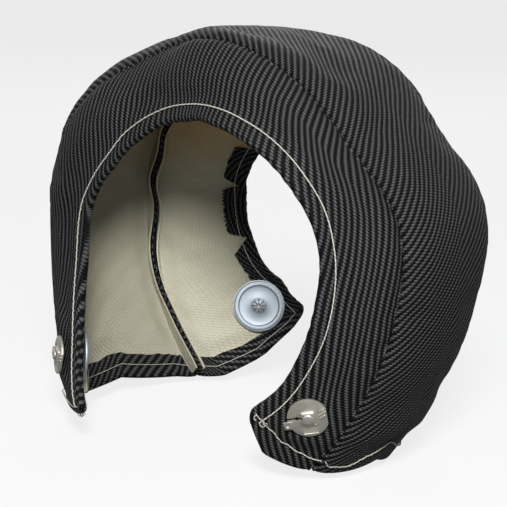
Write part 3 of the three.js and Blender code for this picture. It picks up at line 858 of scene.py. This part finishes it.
def loose_end(start, heading, length, numbers, curl=0.5):
    """Path of a free yarn that leaves the cloth and bends at random."""
    path = [np.array(start, float)]
    heading = np.array(heading, float)
    for _ in range(9):
        heading = heading / np.linalg.norm(heading) + curl * numbers.normal(0, 0.35, 3)
        heading[2] -= 0.08
        path.append(path[-1] + heading / np.linalg.norm(heading) * length / 9)
    return path


def frayed_yarns():
    """Yarns that have worked loose at the front left corner."""
    numbers = np.random.default_rng(91)
    corner = Strands()
    for _ in range(16):
        u = np.array([numbers.uniform(0.6, 2.0)])
        s = np.array([numbers.uniform(SIDE - 16, SIDE - 4)])
        at = place(FRONT, u, s, np.array([numbers.uniform(0.8, 3.2)]))[0]
        away = unit(flat_point(FRONT, u, s) - flat_point(FRONT, u + 3, s))[0]
        corner.add(loose_end(at, away + numbers.normal(0, 0.35, 3), numbers.uniform(1.6, 4.2), numbers), 0.16, 5)
    return corner.build("front_left_frayed_yarns")


def thread_tails():
    """Knotted tails of the sewing thread at the front right corner."""
    numbers = np.random.default_rng(17)
    tails = Strands()
    ends = ((8.6, 37.2, 7.0, (1.0, 0.2)), (9.6, 36.2, 5.0, (0.8, -0.4)), (8.2, 40.0, 4.5, (-0.3, 1.0)))
    for inset, s, length, (along_u, along_s) in ends:
        u, at_s = np.array([ARC - inset]), np.array([s])
        at = place(FRONT, u, at_s, np.array([-0.9]))[0]
        ring = unit(flat_point(FRONT, u + 1, at_s) - flat_point(FRONT, u - 1, at_s))[0]
        across = unit(flat_point(FRONT, u, at_s + 1) - flat_point(FRONT, u, at_s - 1))[0]
        outward = -inward_normal(FRONT, u, at_s)[0]
        turn = np.linspace(0, 1.5 * math.pi, 22)
        bend = length / (1.5 * math.pi)
        first = along_u * ring + along_s * across
        second = np.cross(outward, first)
        path = [at + bend * (math.sin(a) * first + (1 - math.cos(a)) * second) + outward * 0.25 * a for a in turn]
        tails.add(path, THREAD_RADIUS * 0.7, 6)
    return tails.build("front_right_thread_tails")


fray = frayed_yarns()
tails = thread_tails()


# Lacing anchors, modelled flat at the origin in metres with the cloth below
MM = 0.001
PIN_RADIUS = 1.35
PLATE_RADIUS = 10.25
PLATE = 1.0
BOSS_RISE = 1.4
WASHER_RADIUS = 15.0
WASHER = 0.9
SEAT_GAP = 0.7
PIN_TIP = 3.2


def fresh(name):
    """The object that an operator has just added, with its size applied."""
    piece = bpy.context.active_object
    piece.name = name
    bpy.ops.object.transform_apply(location=True, rotation=True, scale=True)
    return piece


def block(name, size, at, turn=(0, 0, 0), edge=0.0, segments=3):
    """Box with rounded edges, in millimetres."""
    bpy.ops.object.select_all(action="DESELECT")
    bpy.ops.mesh.primitive_cube_add(size=MM, location=[MM * v for v in at], rotation=turn)
    bpy.context.active_object.scale = size
    piece = fresh(name)
    if edge:
        bevel = piece.modifiers.new("edge", "BEVEL")
        bevel.width = edge * MM
        bevel.segments = segments
        apply_modifiers(piece)
    return piece


def barrel(name, radius, height, at, sides=64, radius_top=None):
    bpy.ops.object.select_all(action="DESELECT")
    top = radius if radius_top is None else radius_top
    bpy.ops.mesh.primitive_cone_add(
        vertices=sides, radius1=radius * MM, radius2=top * MM, depth=height * MM, location=[MM * v for v in at])
    return fresh(name)


def combine(piece, other, operation):
    """Joins or cuts a solid with another, which is used up."""
    step = piece.modifiers.new("combine", "BOOLEAN")
    step.operation = operation
    step.object = other
    step.solver = "EXACT"
    apply_modifiers(piece)
    bpy.data.objects.remove(other)


def top_faces(piece, height):
    """Selects the faces that look up at one height, for the next operator."""
    bpy.ops.object.select_all(action="DESELECT")
    bpy.context.view_layer.objects.active = piece
    piece.select_set(True)
    bpy.ops.object.mode_set(mode="EDIT")
    bpy.ops.mesh.select_all(action="DESELECT")
    bpy.ops.object.mode_set(mode="OBJECT")
    for face in piece.data.polygons:
        face.select = face.normal.z > 0.9 and abs(face.center.z - height * MM) < 0.05 * MM
    bpy.ops.object.mode_set(mode="EDIT")
    bpy.ops.mesh.select_mode(type="FACE")


def ring_step(inset, rise):
    """Insets the selected cap and lifts it, as one step of a pressed form."""
    bpy.ops.mesh.inset(thickness=inset * MM, depth=rise * MM)


def done(piece, edge=0.1, angle=35):
    """Breaks the sharp edges and smooths the rest."""
    bpy.ops.object.mode_set(mode="OBJECT")
    bevel = piece.modifiers.new("edge", "BEVEL")
    bevel.width = edge * MM
    bevel.segments = 2
    bevel.limit_method = "ANGLE"
    bevel.angle_limit = math.radians(angle)
    bevel.use_clamp_overlap = True
    apply_modifiers(piece)
    smooth_shading(piece, 35)
    return piece


def stamped_plate():
    """Round hook plate: raised square boss, wire slit, folded tab, ribs and a scooped thumb rest."""
    plate = barrel("plate", PLATE_RADIUS, PLATE, (0, 0, PLATE / 2), 96)
    boss = block("boss", (7.8, 7.8, 3.2), (0, 0, 0.8), edge=1.9, segments=5)
    combine(plate, boss, "UNION")
    combine(plate, block("below", (40, 40, 4), (0, 0, -2)), "DIFFERENCE")
    combine(plate, block("hollow", (6.6, 6.6, 2.6), (0, 0, 0.1), edge=1.6, segments=4), "DIFFERENCE")
    combine(plate, block("slit", (11, 1.15, 8), (-7.2, 0.2, 1)), "DIFFERENCE")
    combine(plate, barrel("wire_hole", 1.0, 8, (-5.4, 0.2, 1), 24), "DIFFERENCE")
    combine(plate, block("flat", (4, 30, 8), (PLATE_RADIUS + 1.0, 0, 1)), "DIFFERENCE")
    combine(plate, block("scoop", (7.6, 5.0, 1.2), (0.4, -6.3, PLATE + 0.25), (math.radians(-5), 0, 0), 0.3), "DIFFERENCE")
    combine(plate, block("scoop_lip", (6.4, 0.8, 0.7), (0.4, -4.0, PLATE + 0.1), edge=0.2), "UNION")
    tab = block("tab", (4.6, 4.2, 0.9), (-PLATE_RADIUS + 0.3, -2.9, PLATE + 0.35), (0, math.radians(-7), 0.1), 0.25)
    bpy.ops.object.select_all(action="DESELECT")
    bpy.ops.mesh.primitive_uv_sphere_add(
        segments=24, ring_count=12, radius=1.15 * MM, location=(-0.0104, -0.0029, 0.00245))
    combine(tab, fresh("dimple"), "DIFFERENCE")
    combine(plate, tab, "UNION")
    for y, length in ((-0.2, 3.6), (1.7, 4.2), (3.4, 3.0)):
        rib = block("rib", (length, 0.75, 0.8), (7.0, y, PLATE + 0.15), (0, 0, math.radians(28)), 0.3)
        combine(plate, rib, "UNION")
    combine(plate, barrel("pin_hole", PIN_RADIUS + 0.25, 12, (0, 0, 1), 24), "DIFFERENCE")
    return done(plate, 0.12)


def pressed_washer():
    """Locking washer: rolled rim, flat pan and a domed middle lanced into petals round the pin."""
    washer = barrel("washer", WASHER_RADIUS, WASHER, (0, 0, WASHER / 2), 96)
    top_faces(washer, WASHER)
    ring_step(0.5, 0.0)
    ring_step(0.6, 0.75)
    ring_step(1.7, 0.1)
    ring_step(0.8, -0.95)
    ring_step(6.4, 0.0)
    ring_step(0.5, 0.25)
    ring_step(1.2, 0.45)
    ring_step(1.5, 0.7)
    bpy.ops.object.mode_set(mode="OBJECT")
    combine(washer, barrel("pin_hole", PIN_RADIUS + 0.2, 12, (0, 0, 1), 24), "DIFFERENCE")
    for k in range(8):
        turn = math.radians(45 * k + 10)
        spot = (2.9 * math.cos(turn), 2.9 * math.sin(turn), 1.5)
        combine(washer, block("lance", (2.9, 0.45, 6), spot, (0, 0, turn)), "DIFFERENCE")
    return done(washer, 0.1)


def headed_pin(length):
    """Wire pin with a low head outside and a cut point inside."""
    pin = barrel("pin", PIN_RADIUS, length, (0, 0, -length / 2), 32)
    combine(pin, barrel("point", 6, 4, (0, 0, -length - 0.8), 32, 0.3), "DIFFERENCE")
    head = barrel("head", 2.7, 0.5, (0, 0, 0.25), 48)
    top_faces(head, 0.5)
    ring_step(0.35, 0.22)
    ring_step(0.6, 0.14)
    ring_step(0.9, 0.06)
    bpy.ops.object.mode_set(mode="OBJECT")
    combine(pin, head, "UNION")
    return done(pin, 0.08)


def surface_frame(panel, u, s):
    """Frame on the outer face: X along the ring, Y across the panel, Z outward."""
    at_u, at_s = np.array([u]), np.array([s])
    outward = -inward_normal(panel, at_u, at_s)[0]
    ring = unit(flat_point(panel, at_u + 1, at_s) - flat_point(panel, at_u - 1, at_s))[0]
    across = unit(np.cross(outward, ring)[None])[0]
    return place(panel, at_u, at_s, np.zeros(1))[0], np.stack([np.cross(across, outward), across, outward], -1)


def seat_height(centre, axes, panel, u, s, inside, radius):
    """Height that a flat disc needs above a face of the blanket."""
    steps = np.linspace(-radius, radius, 21)
    du, ds = [grid.ravel() for grid in np.meshgrid(steps, steps)]
    keep = np.hypot(du, ds) <= radius
    at_u, at_s = u + du[keep], s + ds[keep]
    on_hem = (np.minimum(at_u, ARC - at_u) < HEM) | (at_s > SIDE - HEM)
    depth = np.zeros_like(at_u)
    if inside:
        depth = liner_foot(panel, at_u, at_s) + np.where(on_hem, LAYER_GAP + COVER, 0)
    heights = (place(panel, at_u, at_s, depth) - centre) @ axes[:, 2]
    return float((-heights if inside else heights).max())


def seated(model, name, centre, axes, height, turned=False):
    """Copy of a model with its own mesh, put at its height on an anchor's axis."""
    mesh = model.data.copy()
    flip = Matrix.Rotation(math.pi, 4, "X") if turned else Matrix.Identity(4)
    turn = Matrix([list(row) for row in axes]).to_4x4()
    at = Vector(in_part(centre + axes[:, 2] * height))
    mesh.transform(Matrix.Translation(at) @ turn @ flip)
    piece = bpy.data.objects.new(name, mesh)
    bpy.context.scene.collection.objects.link(piece)
    return piece


def build_anchors():
    plate_model = stamped_plate()
    washer_model = pressed_washer()
    made = {}
    for row, panel, inset, s in (("front", FRONT, 36.0, 23.0), ("rear", REAR, 33.0, 28.0)):
        for hand, u in (("left", inset), ("right", ARC - inset)):
            centre, axes = surface_frame(panel, u, s)
            plate_height = seat_height(centre, axes, panel, u, s, False, PLATE_RADIUS) + SEAT_GAP
            washer_height = seat_height(centre, axes, panel, u, s, True, WASHER_RADIUS) + SEAT_GAP
            head_height = plate_height + BOSS_RISE + PLATE + LAYER_GAP
            turn = Matrix.Rotation(math.radians(135 if hand == "right" else -135), 3, "Z")
            turned = axes @ np.array(turn)
            pin_model = headed_pin(head_height + washer_height + 0.8 + PIN_TIP)
            name = row + "_" + hand
            made[name + "_hook_plate"] = seated(plate_model, name + "_hook_plate_steel", centre, turned, plate_height)
            made[name + "_washer"] = seated(
                washer_model, name + "_washer_steel", centre, axes, -washer_height, True)
            made[name + "_pin"] = seated(pin_model, name + "_pin_steel", centre, axes, head_height)
            bpy.data.objects.remove(pin_model)
    bpy.data.objects.remove(plate_model)
    bpy.data.objects.remove(washer_model)
    return made


anchors = build_anchors()


# Materials
class Amount:
    """A number that varies over a surface, with the ordinary operators."""

    def __init__(self, finish, socket):
        self.finish = finish
        self.socket = socket

    def _maths(self, operation, *values):
        return self.finish.node("ShaderNodeMath", {"operation": operation}, values)

    def __add__(self, other):
        return self._maths("ADD", self, other)

    __radd__ = __add__

    def __mul__(self, other):
        return self._maths("MULTIPLY", self, other)

    __rmul__ = __mul__

    def __sub__(self, other):
        return self._maths("SUBTRACT", self, other)

    def __rsub__(self, other):
        return self._maths("SUBTRACT", other, self)

    def __truediv__(self, other):
        return self._maths("DIVIDE", self, other)

    def floor(self):
        return self._maths("FLOOR", self)

    def fraction(self):
        return self._maths("FRACT", self)

    def modulo(self, other):
        return self._maths("FLOORED_MODULO", self, other)

    def absolute(self):
        return self._maths("ABSOLUTE", self)

    def below(self, other):
        return self._maths("LESS_THAN", self, other)

    def power(self, other):
        return self._maths("POWER", self, other)

    def sine(self):
        return self._maths("SINE", self)

    def least(self, other):
        return self._maths("MINIMUM", self, other)

    def most(self, other):
        return self._maths("MAXIMUM", self, other)


class Finish:
    """One material and the few nodes that its surface needs."""

    def __init__(self, name, roughness, metallic=0.0, specular=0.5):
        self.material = bpy.data.materials.new(name)
        self.material.use_nodes = True
        self.tree = self.material.node_tree
        self.surface = self.tree.nodes["Principled BSDF"]
        self.surface.inputs["Roughness"].default_value = roughness
        self.surface.inputs["Metallic"].default_value = metallic
        self.surface.inputs["Specular IOR Level"].default_value = specular

    def node(self, kind, settings, values, output=0):
        made = self.tree.nodes.new(kind)
        for key, value in settings.items():
            setattr(made, key, value)
        pairs = values.items() if isinstance(values, dict) else enumerate(values)
        for key, value in pairs:
            if isinstance(value, Amount):
                self.tree.links.new(value.socket, made.inputs[key])
            elif value is not None:
                made.inputs[key].default_value = value
        return Amount(self, made.outputs[output])

    def pattern(self):
        """The two pattern coordinates of a cloth, in millimetres."""
        uv = self.node("ShaderNodeUVMap", {"uv_map": "pattern"}, [])
        parts = self.tree.nodes.new("ShaderNodeSeparateXYZ")
        self.tree.links.new(uv.socket, parts.inputs[0])
        return Amount(self, parts.outputs[0]) * 100, Amount(self, parts.outputs[1]) * 100

    def position(self):
        return self.node("ShaderNodeTexCoord", {}, [], "Object")

    def noise(self, scale, detail=2.0, vector=None):
        values = {"Vector": vector or self.position(), "Scale": scale, "Detail": detail}
        return self.node("ShaderNodeTexNoise", {}, values)

    def mix(self, share, first, second):
        made = self.tree.nodes.new("ShaderNodeMix")
        made.data_type = "RGBA"
        if isinstance(share, Amount):
            self.tree.links.new(share.socket, made.inputs[0])
        else:
            made.inputs[0].default_value = share
        for index, value in ((6, first), (7, second)):
            if isinstance(value, Amount):
                self.tree.links.new(value.socket, made.inputs[index])
            else:
                made.inputs[index].default_value = (*value, 1)
        return Amount(self, made.outputs[2])

    def colour(self, value):
        if isinstance(value, Amount):
            self.tree.links.new(value.socket, self.surface.inputs["Base Color"])
        else:
            self.surface.inputs["Base Color"].default_value = (*value, 1)

    def roughness(self, value):
        self.tree.links.new(value.socket, self.surface.inputs["Roughness"])

    def relief(self, height, millimetres, strength=1.0):
        values = {"Height": height, "Distance": millimetres / 1000, "Strength": strength}
        bump = self.node("ShaderNodeBump", {}, values)
        self.tree.links.new(bump.socket, self.surface.inputs["Normal"])


TOW = 1.04
# Colour range of the painted sheen on the warp floats, which stands in for the glints of their fibres.
WARP_SHEEN_DIM = (0.085, 0.085, 0.084)
WARP_SHEEN_BRIGHT = (0.150, 0.153, 0.157)


def twill(x, y):
    """Weave of two-over-two twill, with its place counted in tows along both directions."""
    column = x.floor()
    row = y.floor()
    warp_over = (column + row).modulo(4).below(1.5)
    across_warp = (x.fraction() - 0.5).absolute() * 2
    across_weft = (y.fraction() - 0.5).absolute() * 2
    across = warp_over * across_warp + (1 - warp_over) * across_weft
    crown = 1 - across * across
    # how far along its float a tow is, from its middle
    warp_run = ((y + column).modulo(4) - 1.0)
    weft_run = ((x + row).modulo(4) - 3.0)
    run = warp_over * warp_run + (1 - warp_over) * weft_run
    arch = 1 - (run.absolute()).least(1.0).power(2.0)
    return warp_over, crown, arch


def cover_cloth(name, is_rim):
    """Glossy black twill of flat tows, with painted sheen on the warp floats; on the side panels it is cut on the
    bias.
    """
    finish = Finish(name, 0.42, specular=0.05)
    u, s = finish.pattern()
    if is_rim:
        x = u / TOW
        y = s / TOW
    else:
        x = (u + s) * (math.sqrt(0.5) / TOW)
        y = (u - s) * (math.sqrt(0.5) / TOW)
    warp_over, crown, arch = twill(x, y)
    body = crown.power(0.6) * (0.25 + 0.75 * arch)
    cloudy = finish.noise(14.0, 3.0)
    fine = finish.noise(300.0, 2.0)
    # Painted sheen: warp floats are coloured light grey and weft floats near black, in place of the glints of the
    # fibres.
    light = finish.mix(cloudy, WARP_SHEEN_DIM, WARP_SHEEN_BRIGHT)
    dark = finish.mix(cloudy, (0.004, 0.004, 0.0045), (0.008, 0.0078, 0.0075))
    tows_with_sheen = finish.mix(warp_over * (0.7 + 0.3 * fine), dark, light)
    # The painted sheen fades to near black towards the edges of each tow and the ends of each float.
    finish.colour(finish.mix(body, (0.0035, 0.0035, 0.004), tows_with_sheen))
    finish.roughness(0.36 + 0.14 * fine + 0.12 * (1 - warp_over))
    finish.relief(body, 0.36)
    return finish.material


def liner_cloth(name, unshaded_share):
    """Cream silica cloth in a plain weave, browned by heat towards the top of the ring, and darkened with painted
    shade as the second argument sets.
    """
    finish = Finish(name, 0.9, specular=0.1)
    u, s = finish.pattern()
    pitch = 1.25
    x = u / pitch
    y = s / pitch
    over = (x.floor() + y.floor()).modulo(2).below(0.5)
    across_x = (x.fraction() - 0.5).absolute() * 2
    across_y = (y.fraction() - 0.5).absolute() * 2
    across = over * across_x + (1 - over) * across_y
    crown = (1 - across * across).power(0.6)
    cloudy = finish.noise(20.0, 4.0)
    fine = finish.noise(420.0, 2.0)
    base = finish.mix(cloudy, (0.60, 0.58, 0.44), (0.74, 0.73, 0.62))
    parts = finish.tree.nodes.new("ShaderNodeSeparateXYZ")
    finish.tree.links.new(finish.position().socket, parts.inputs[0])
    height = Amount(finish, parts.outputs[2])
    browned = ((height - 0.118) * 17 + (cloudy - 0.5)).most(0.0).least(0.9)
    woven = finish.mix(crown * (0.7 + 0.3 * fine), (0.50, 0.45, 0.31), base)
    aged = finish.mix(browned, woven, (0.60, 0.37, 0.11))
    # Painted shade: below 1 the second argument mixes the colour towards dark brown, to darken the liner as if it lay
    # in shade.
    finish.colour(finish.mix(unshaded_share, (0.10, 0.09, 0.06), aged))
    finish.relief(crown + 0.15 * fine, 0.22)
    return finish.material


def mat_wool():
    """Needled fibre mat."""
    finish = Finish("insulation_mat", 1.0, specular=0.1)
    cloudy = finish.noise(90.0, 5.0)
    finish.colour(finish.mix(cloudy, (0.5, 0.47, 0.38), (0.75, 0.72, 0.62)))
    finish.relief(finish.noise(900.0, 3.0), 0.4)
    return finish.material


def sewing_thread():
    """Twisted thread, a little soiled."""
    finish = Finish("sewing_thread", 0.75, specular=0.25)
    length, corner = finish.pattern()
    ply = ((length * 2.2 + corner * (2 * math.pi / 6)).sine() + 1) * 0.5
    cloudy = finish.noise(60.0, 3.0)
    base = finish.mix(cloudy, (0.58, 0.55, 0.48), (0.80, 0.77, 0.70))
    finish.colour(finish.mix(ply, (0.46, 0.43, 0.36), base))
    finish.relief(ply, 0.2)
    return finish.material


def loose_yarn():
    """Single dark yarns pulled out of the cover."""
    finish = Finish("cover_yarn", 0.7, specular=0.2)
    cloudy = finish.noise(220.0, 2.0)
    finish.colour(finish.mix(cloudy, (0.02, 0.02, 0.02), (0.16, 0.15, 0.13)))
    return finish.material


def steel(name, shade, light, roughness):
    """Dull stamped sheet with fine scratches and faint stains."""
    finish = Finish(name, roughness, metallic=0.85)
    cloudy = finish.noise(160.0, 4.0)
    fine = finish.noise(1500.0, 2.0)
    finish.colour(finish.mix(cloudy, shade, light))
    finish.roughness(roughness - 0.08 + 0.16 * cloudy + 0.08 * fine)
    finish.relief(fine, 0.03)
    return finish.material


cover_rim_finish = cover_cloth("cover_cloth_rim", True)
cover_side_finish = cover_cloth("cover_cloth_side", False)
side_liner_finish = liner_cloth("liner_cloth_side", 1.0)
# The rim liner is darkened with 28 % painted shade.
rim_liner_finish = liner_cloth("liner_cloth_rim", 0.72)
mat_finish = mat_wool()
thread_finish = sewing_thread()
yarn_finish = loose_yarn()
ANCHOR_FINISH = {
    "hook_plate": ("plate_steel", steel("plate_steel", (0.36, 0.35, 0.31), (0.60, 0.58, 0.50), 0.42)),
    "washer": ("washer_steel", steel("washer_steel", (0.36, 0.42, 0.47), (0.50, 0.56, 0.61), 0.50)),
    "pin": ("pin_steel", steel("pin_steel", (0.44, 0.43, 0.41), (0.60, 0.59, 0.56), 0.42)),
}

for name, piece in covers.items():
    piece.data.materials.append(cover_rim_finish if name == "rim" else cover_side_finish)
    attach(piece, "root")
    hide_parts(name + "_cover")
for name, piece in liners.items():
    piece.data.materials.append(rim_liner_finish if name == "rim" else side_liner_finish)
    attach(piece, "root")
    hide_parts(name + "_liner")
for name, piece in mats.items():
    piece.data.materials.append(mat_finish)
    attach(piece, "root")
    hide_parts(name + "_mat")
for name, piece in threads.items():
    piece.data.materials.append(thread_finish)
    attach(piece, "root")
    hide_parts(name)

fray.data.materials.append(yarn_finish)
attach(fray, "root")
tails.data.materials.append(thread_finish)
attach(tails, "root")

for name, piece in anchors.items():
    kind = name.split("_", 2)[2]
    piece.data.materials.clear()
    piece.data.materials.append(ANCHOR_FINISH[kind][1])
    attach(piece, "root")
    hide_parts(name)


# Floor, background, lights and camera
def soft_light(name, at, target, size, watts, colour=(1, 1, 1)):
    data = bpy.data.lights.new(name, "AREA")
    data.shape = "DISK"
    data.size = size
    data.energy = watts
    data.color = colour
    lamp = bpy.data.objects.new(name, data)
    lamp.location = at
    lamp.rotation_euler = (Vector(target) - Vector(at)).to_track_quat("-Z", "Y").to_euler()
    bpy.context.scene.collection.objects.link(lamp)


def pale_floor():
    """Floor that looks white, keeps a faint shadow and throws little light back up."""
    finish = Finish("pale_floor", 0.9, specular=0.0)
    rays = finish.tree.nodes.new("ShaderNodeLightPath")
    camera_ray = Amount(finish, rays.outputs["Is Camera Ray"])
    finish.colour(finish.mix(camera_ray, (0.3, 0.3, 0.3), (0.9, 0.9, 0.9)))
    bpy.ops.mesh.primitive_plane_add(size=8, location=(0, 0, -0.0005))
    floor = bpy.context.active_object
    floor.name = "floor"
    tree = finish.tree
    white = finish.node("ShaderNodeEmission", {}, {"Color": (1, 1, 1, 1), "Strength": 1.0})
    seen = tree.nodes.new("ShaderNodeMixShader")
    tree.links.new((camera_ray * 0.8).socket, seen.inputs[0])
    tree.links.new(finish.surface.outputs[0], seen.inputs[1])
    tree.links.new(white.socket, seen.inputs[2])
    tree.links.new(seen.outputs[0], tree.nodes["Material Output"].inputs["Surface"])
    floor.data.materials.append(finish.material)


def background():
    """White to the camera and in reflections, and a plain dim light otherwise."""
    world = bpy.data.worlds.new("studio")
    world.use_nodes = True
    tree = world.node_tree
    sky = tree.nodes["Background"]
    sky.inputs["Color"].default_value = (0.86, 0.93, 1.0, 1)
    sky.inputs["Strength"].default_value = 0.12
    white = tree.nodes.new("ShaderNodeBackground")
    white.inputs["Color"].default_value = (1, 1, 1, 1)
    white.inputs["Strength"].default_value = 1.0
    rays = tree.nodes.new("ShaderNodeLightPath")
    seen = tree.nodes.new("ShaderNodeMath")
    seen.operation = "MAXIMUM"
    chosen = tree.nodes.new("ShaderNodeMixShader")
    tree.links.new(rays.outputs["Is Camera Ray"], seen.inputs[0])
    tree.links.new(rays.outputs["Is Glossy Ray"], seen.inputs[1])
    tree.links.new(seen.outputs[0], chosen.inputs[0])
    tree.links.new(sky.outputs[0], chosen.inputs[1])
    tree.links.new(white.outputs[0], chosen.inputs[2])
    tree.links.new(chosen.outputs[0], tree.nodes["World Output"].inputs["Surface"])
    bpy.context.scene.world = world


def photo_camera():
    """Camera at the photograph's place, for a square picture of 507 pixels."""
    azimuth, elevation, roll = math.radians(38.3), math.radians(12.0), math.radians(1.4)
    distance, focal, across, down = 0.981, 1845.0, 246.4, 252.6
    back = Vector((math.sin(azimuth) * math.cos(elevation), -math.cos(azimuth) * math.cos(elevation), math.sin(elevation)))
    right = Vector((math.cos(azimuth), math.sin(azimuth), 0))
    up = back.cross(right)
    camera_x = right * math.cos(roll) + up * math.sin(roll)
    camera_y = back.cross(camera_x)
    data = bpy.data.cameras.new("photo_camera")
    data.sensor_width = 36
    data.lens = 36 * focal / 507
    data.shift_x = -(across - 253.5) / 507
    data.shift_y = (down - 253.5) / 507
    camera = bpy.data.objects.new("photo_camera", data)
    centre = Vector(RING_CENTRE / 1000)
    camera.matrix_world = Matrix.Translation(centre + back * distance) @ Matrix(
        [[camera_x[k], camera_y[k], back[k]] for k in range(3)]).to_4x4()
    bpy.context.scene.collection.objects.link(camera)
    bpy.context.scene.camera = camera


pale_floor()
background()
photo_camera()
soft_light("key", (0.78, -1.02, 0.92), (0, 0, 0.1), 0.4, 27)
soft_light("back", (-0.9, 1.2, 1.0), (0, 0, 0.1), 0.6, 4)
bpy.context.scene.view_settings.view_transform = "Standard"
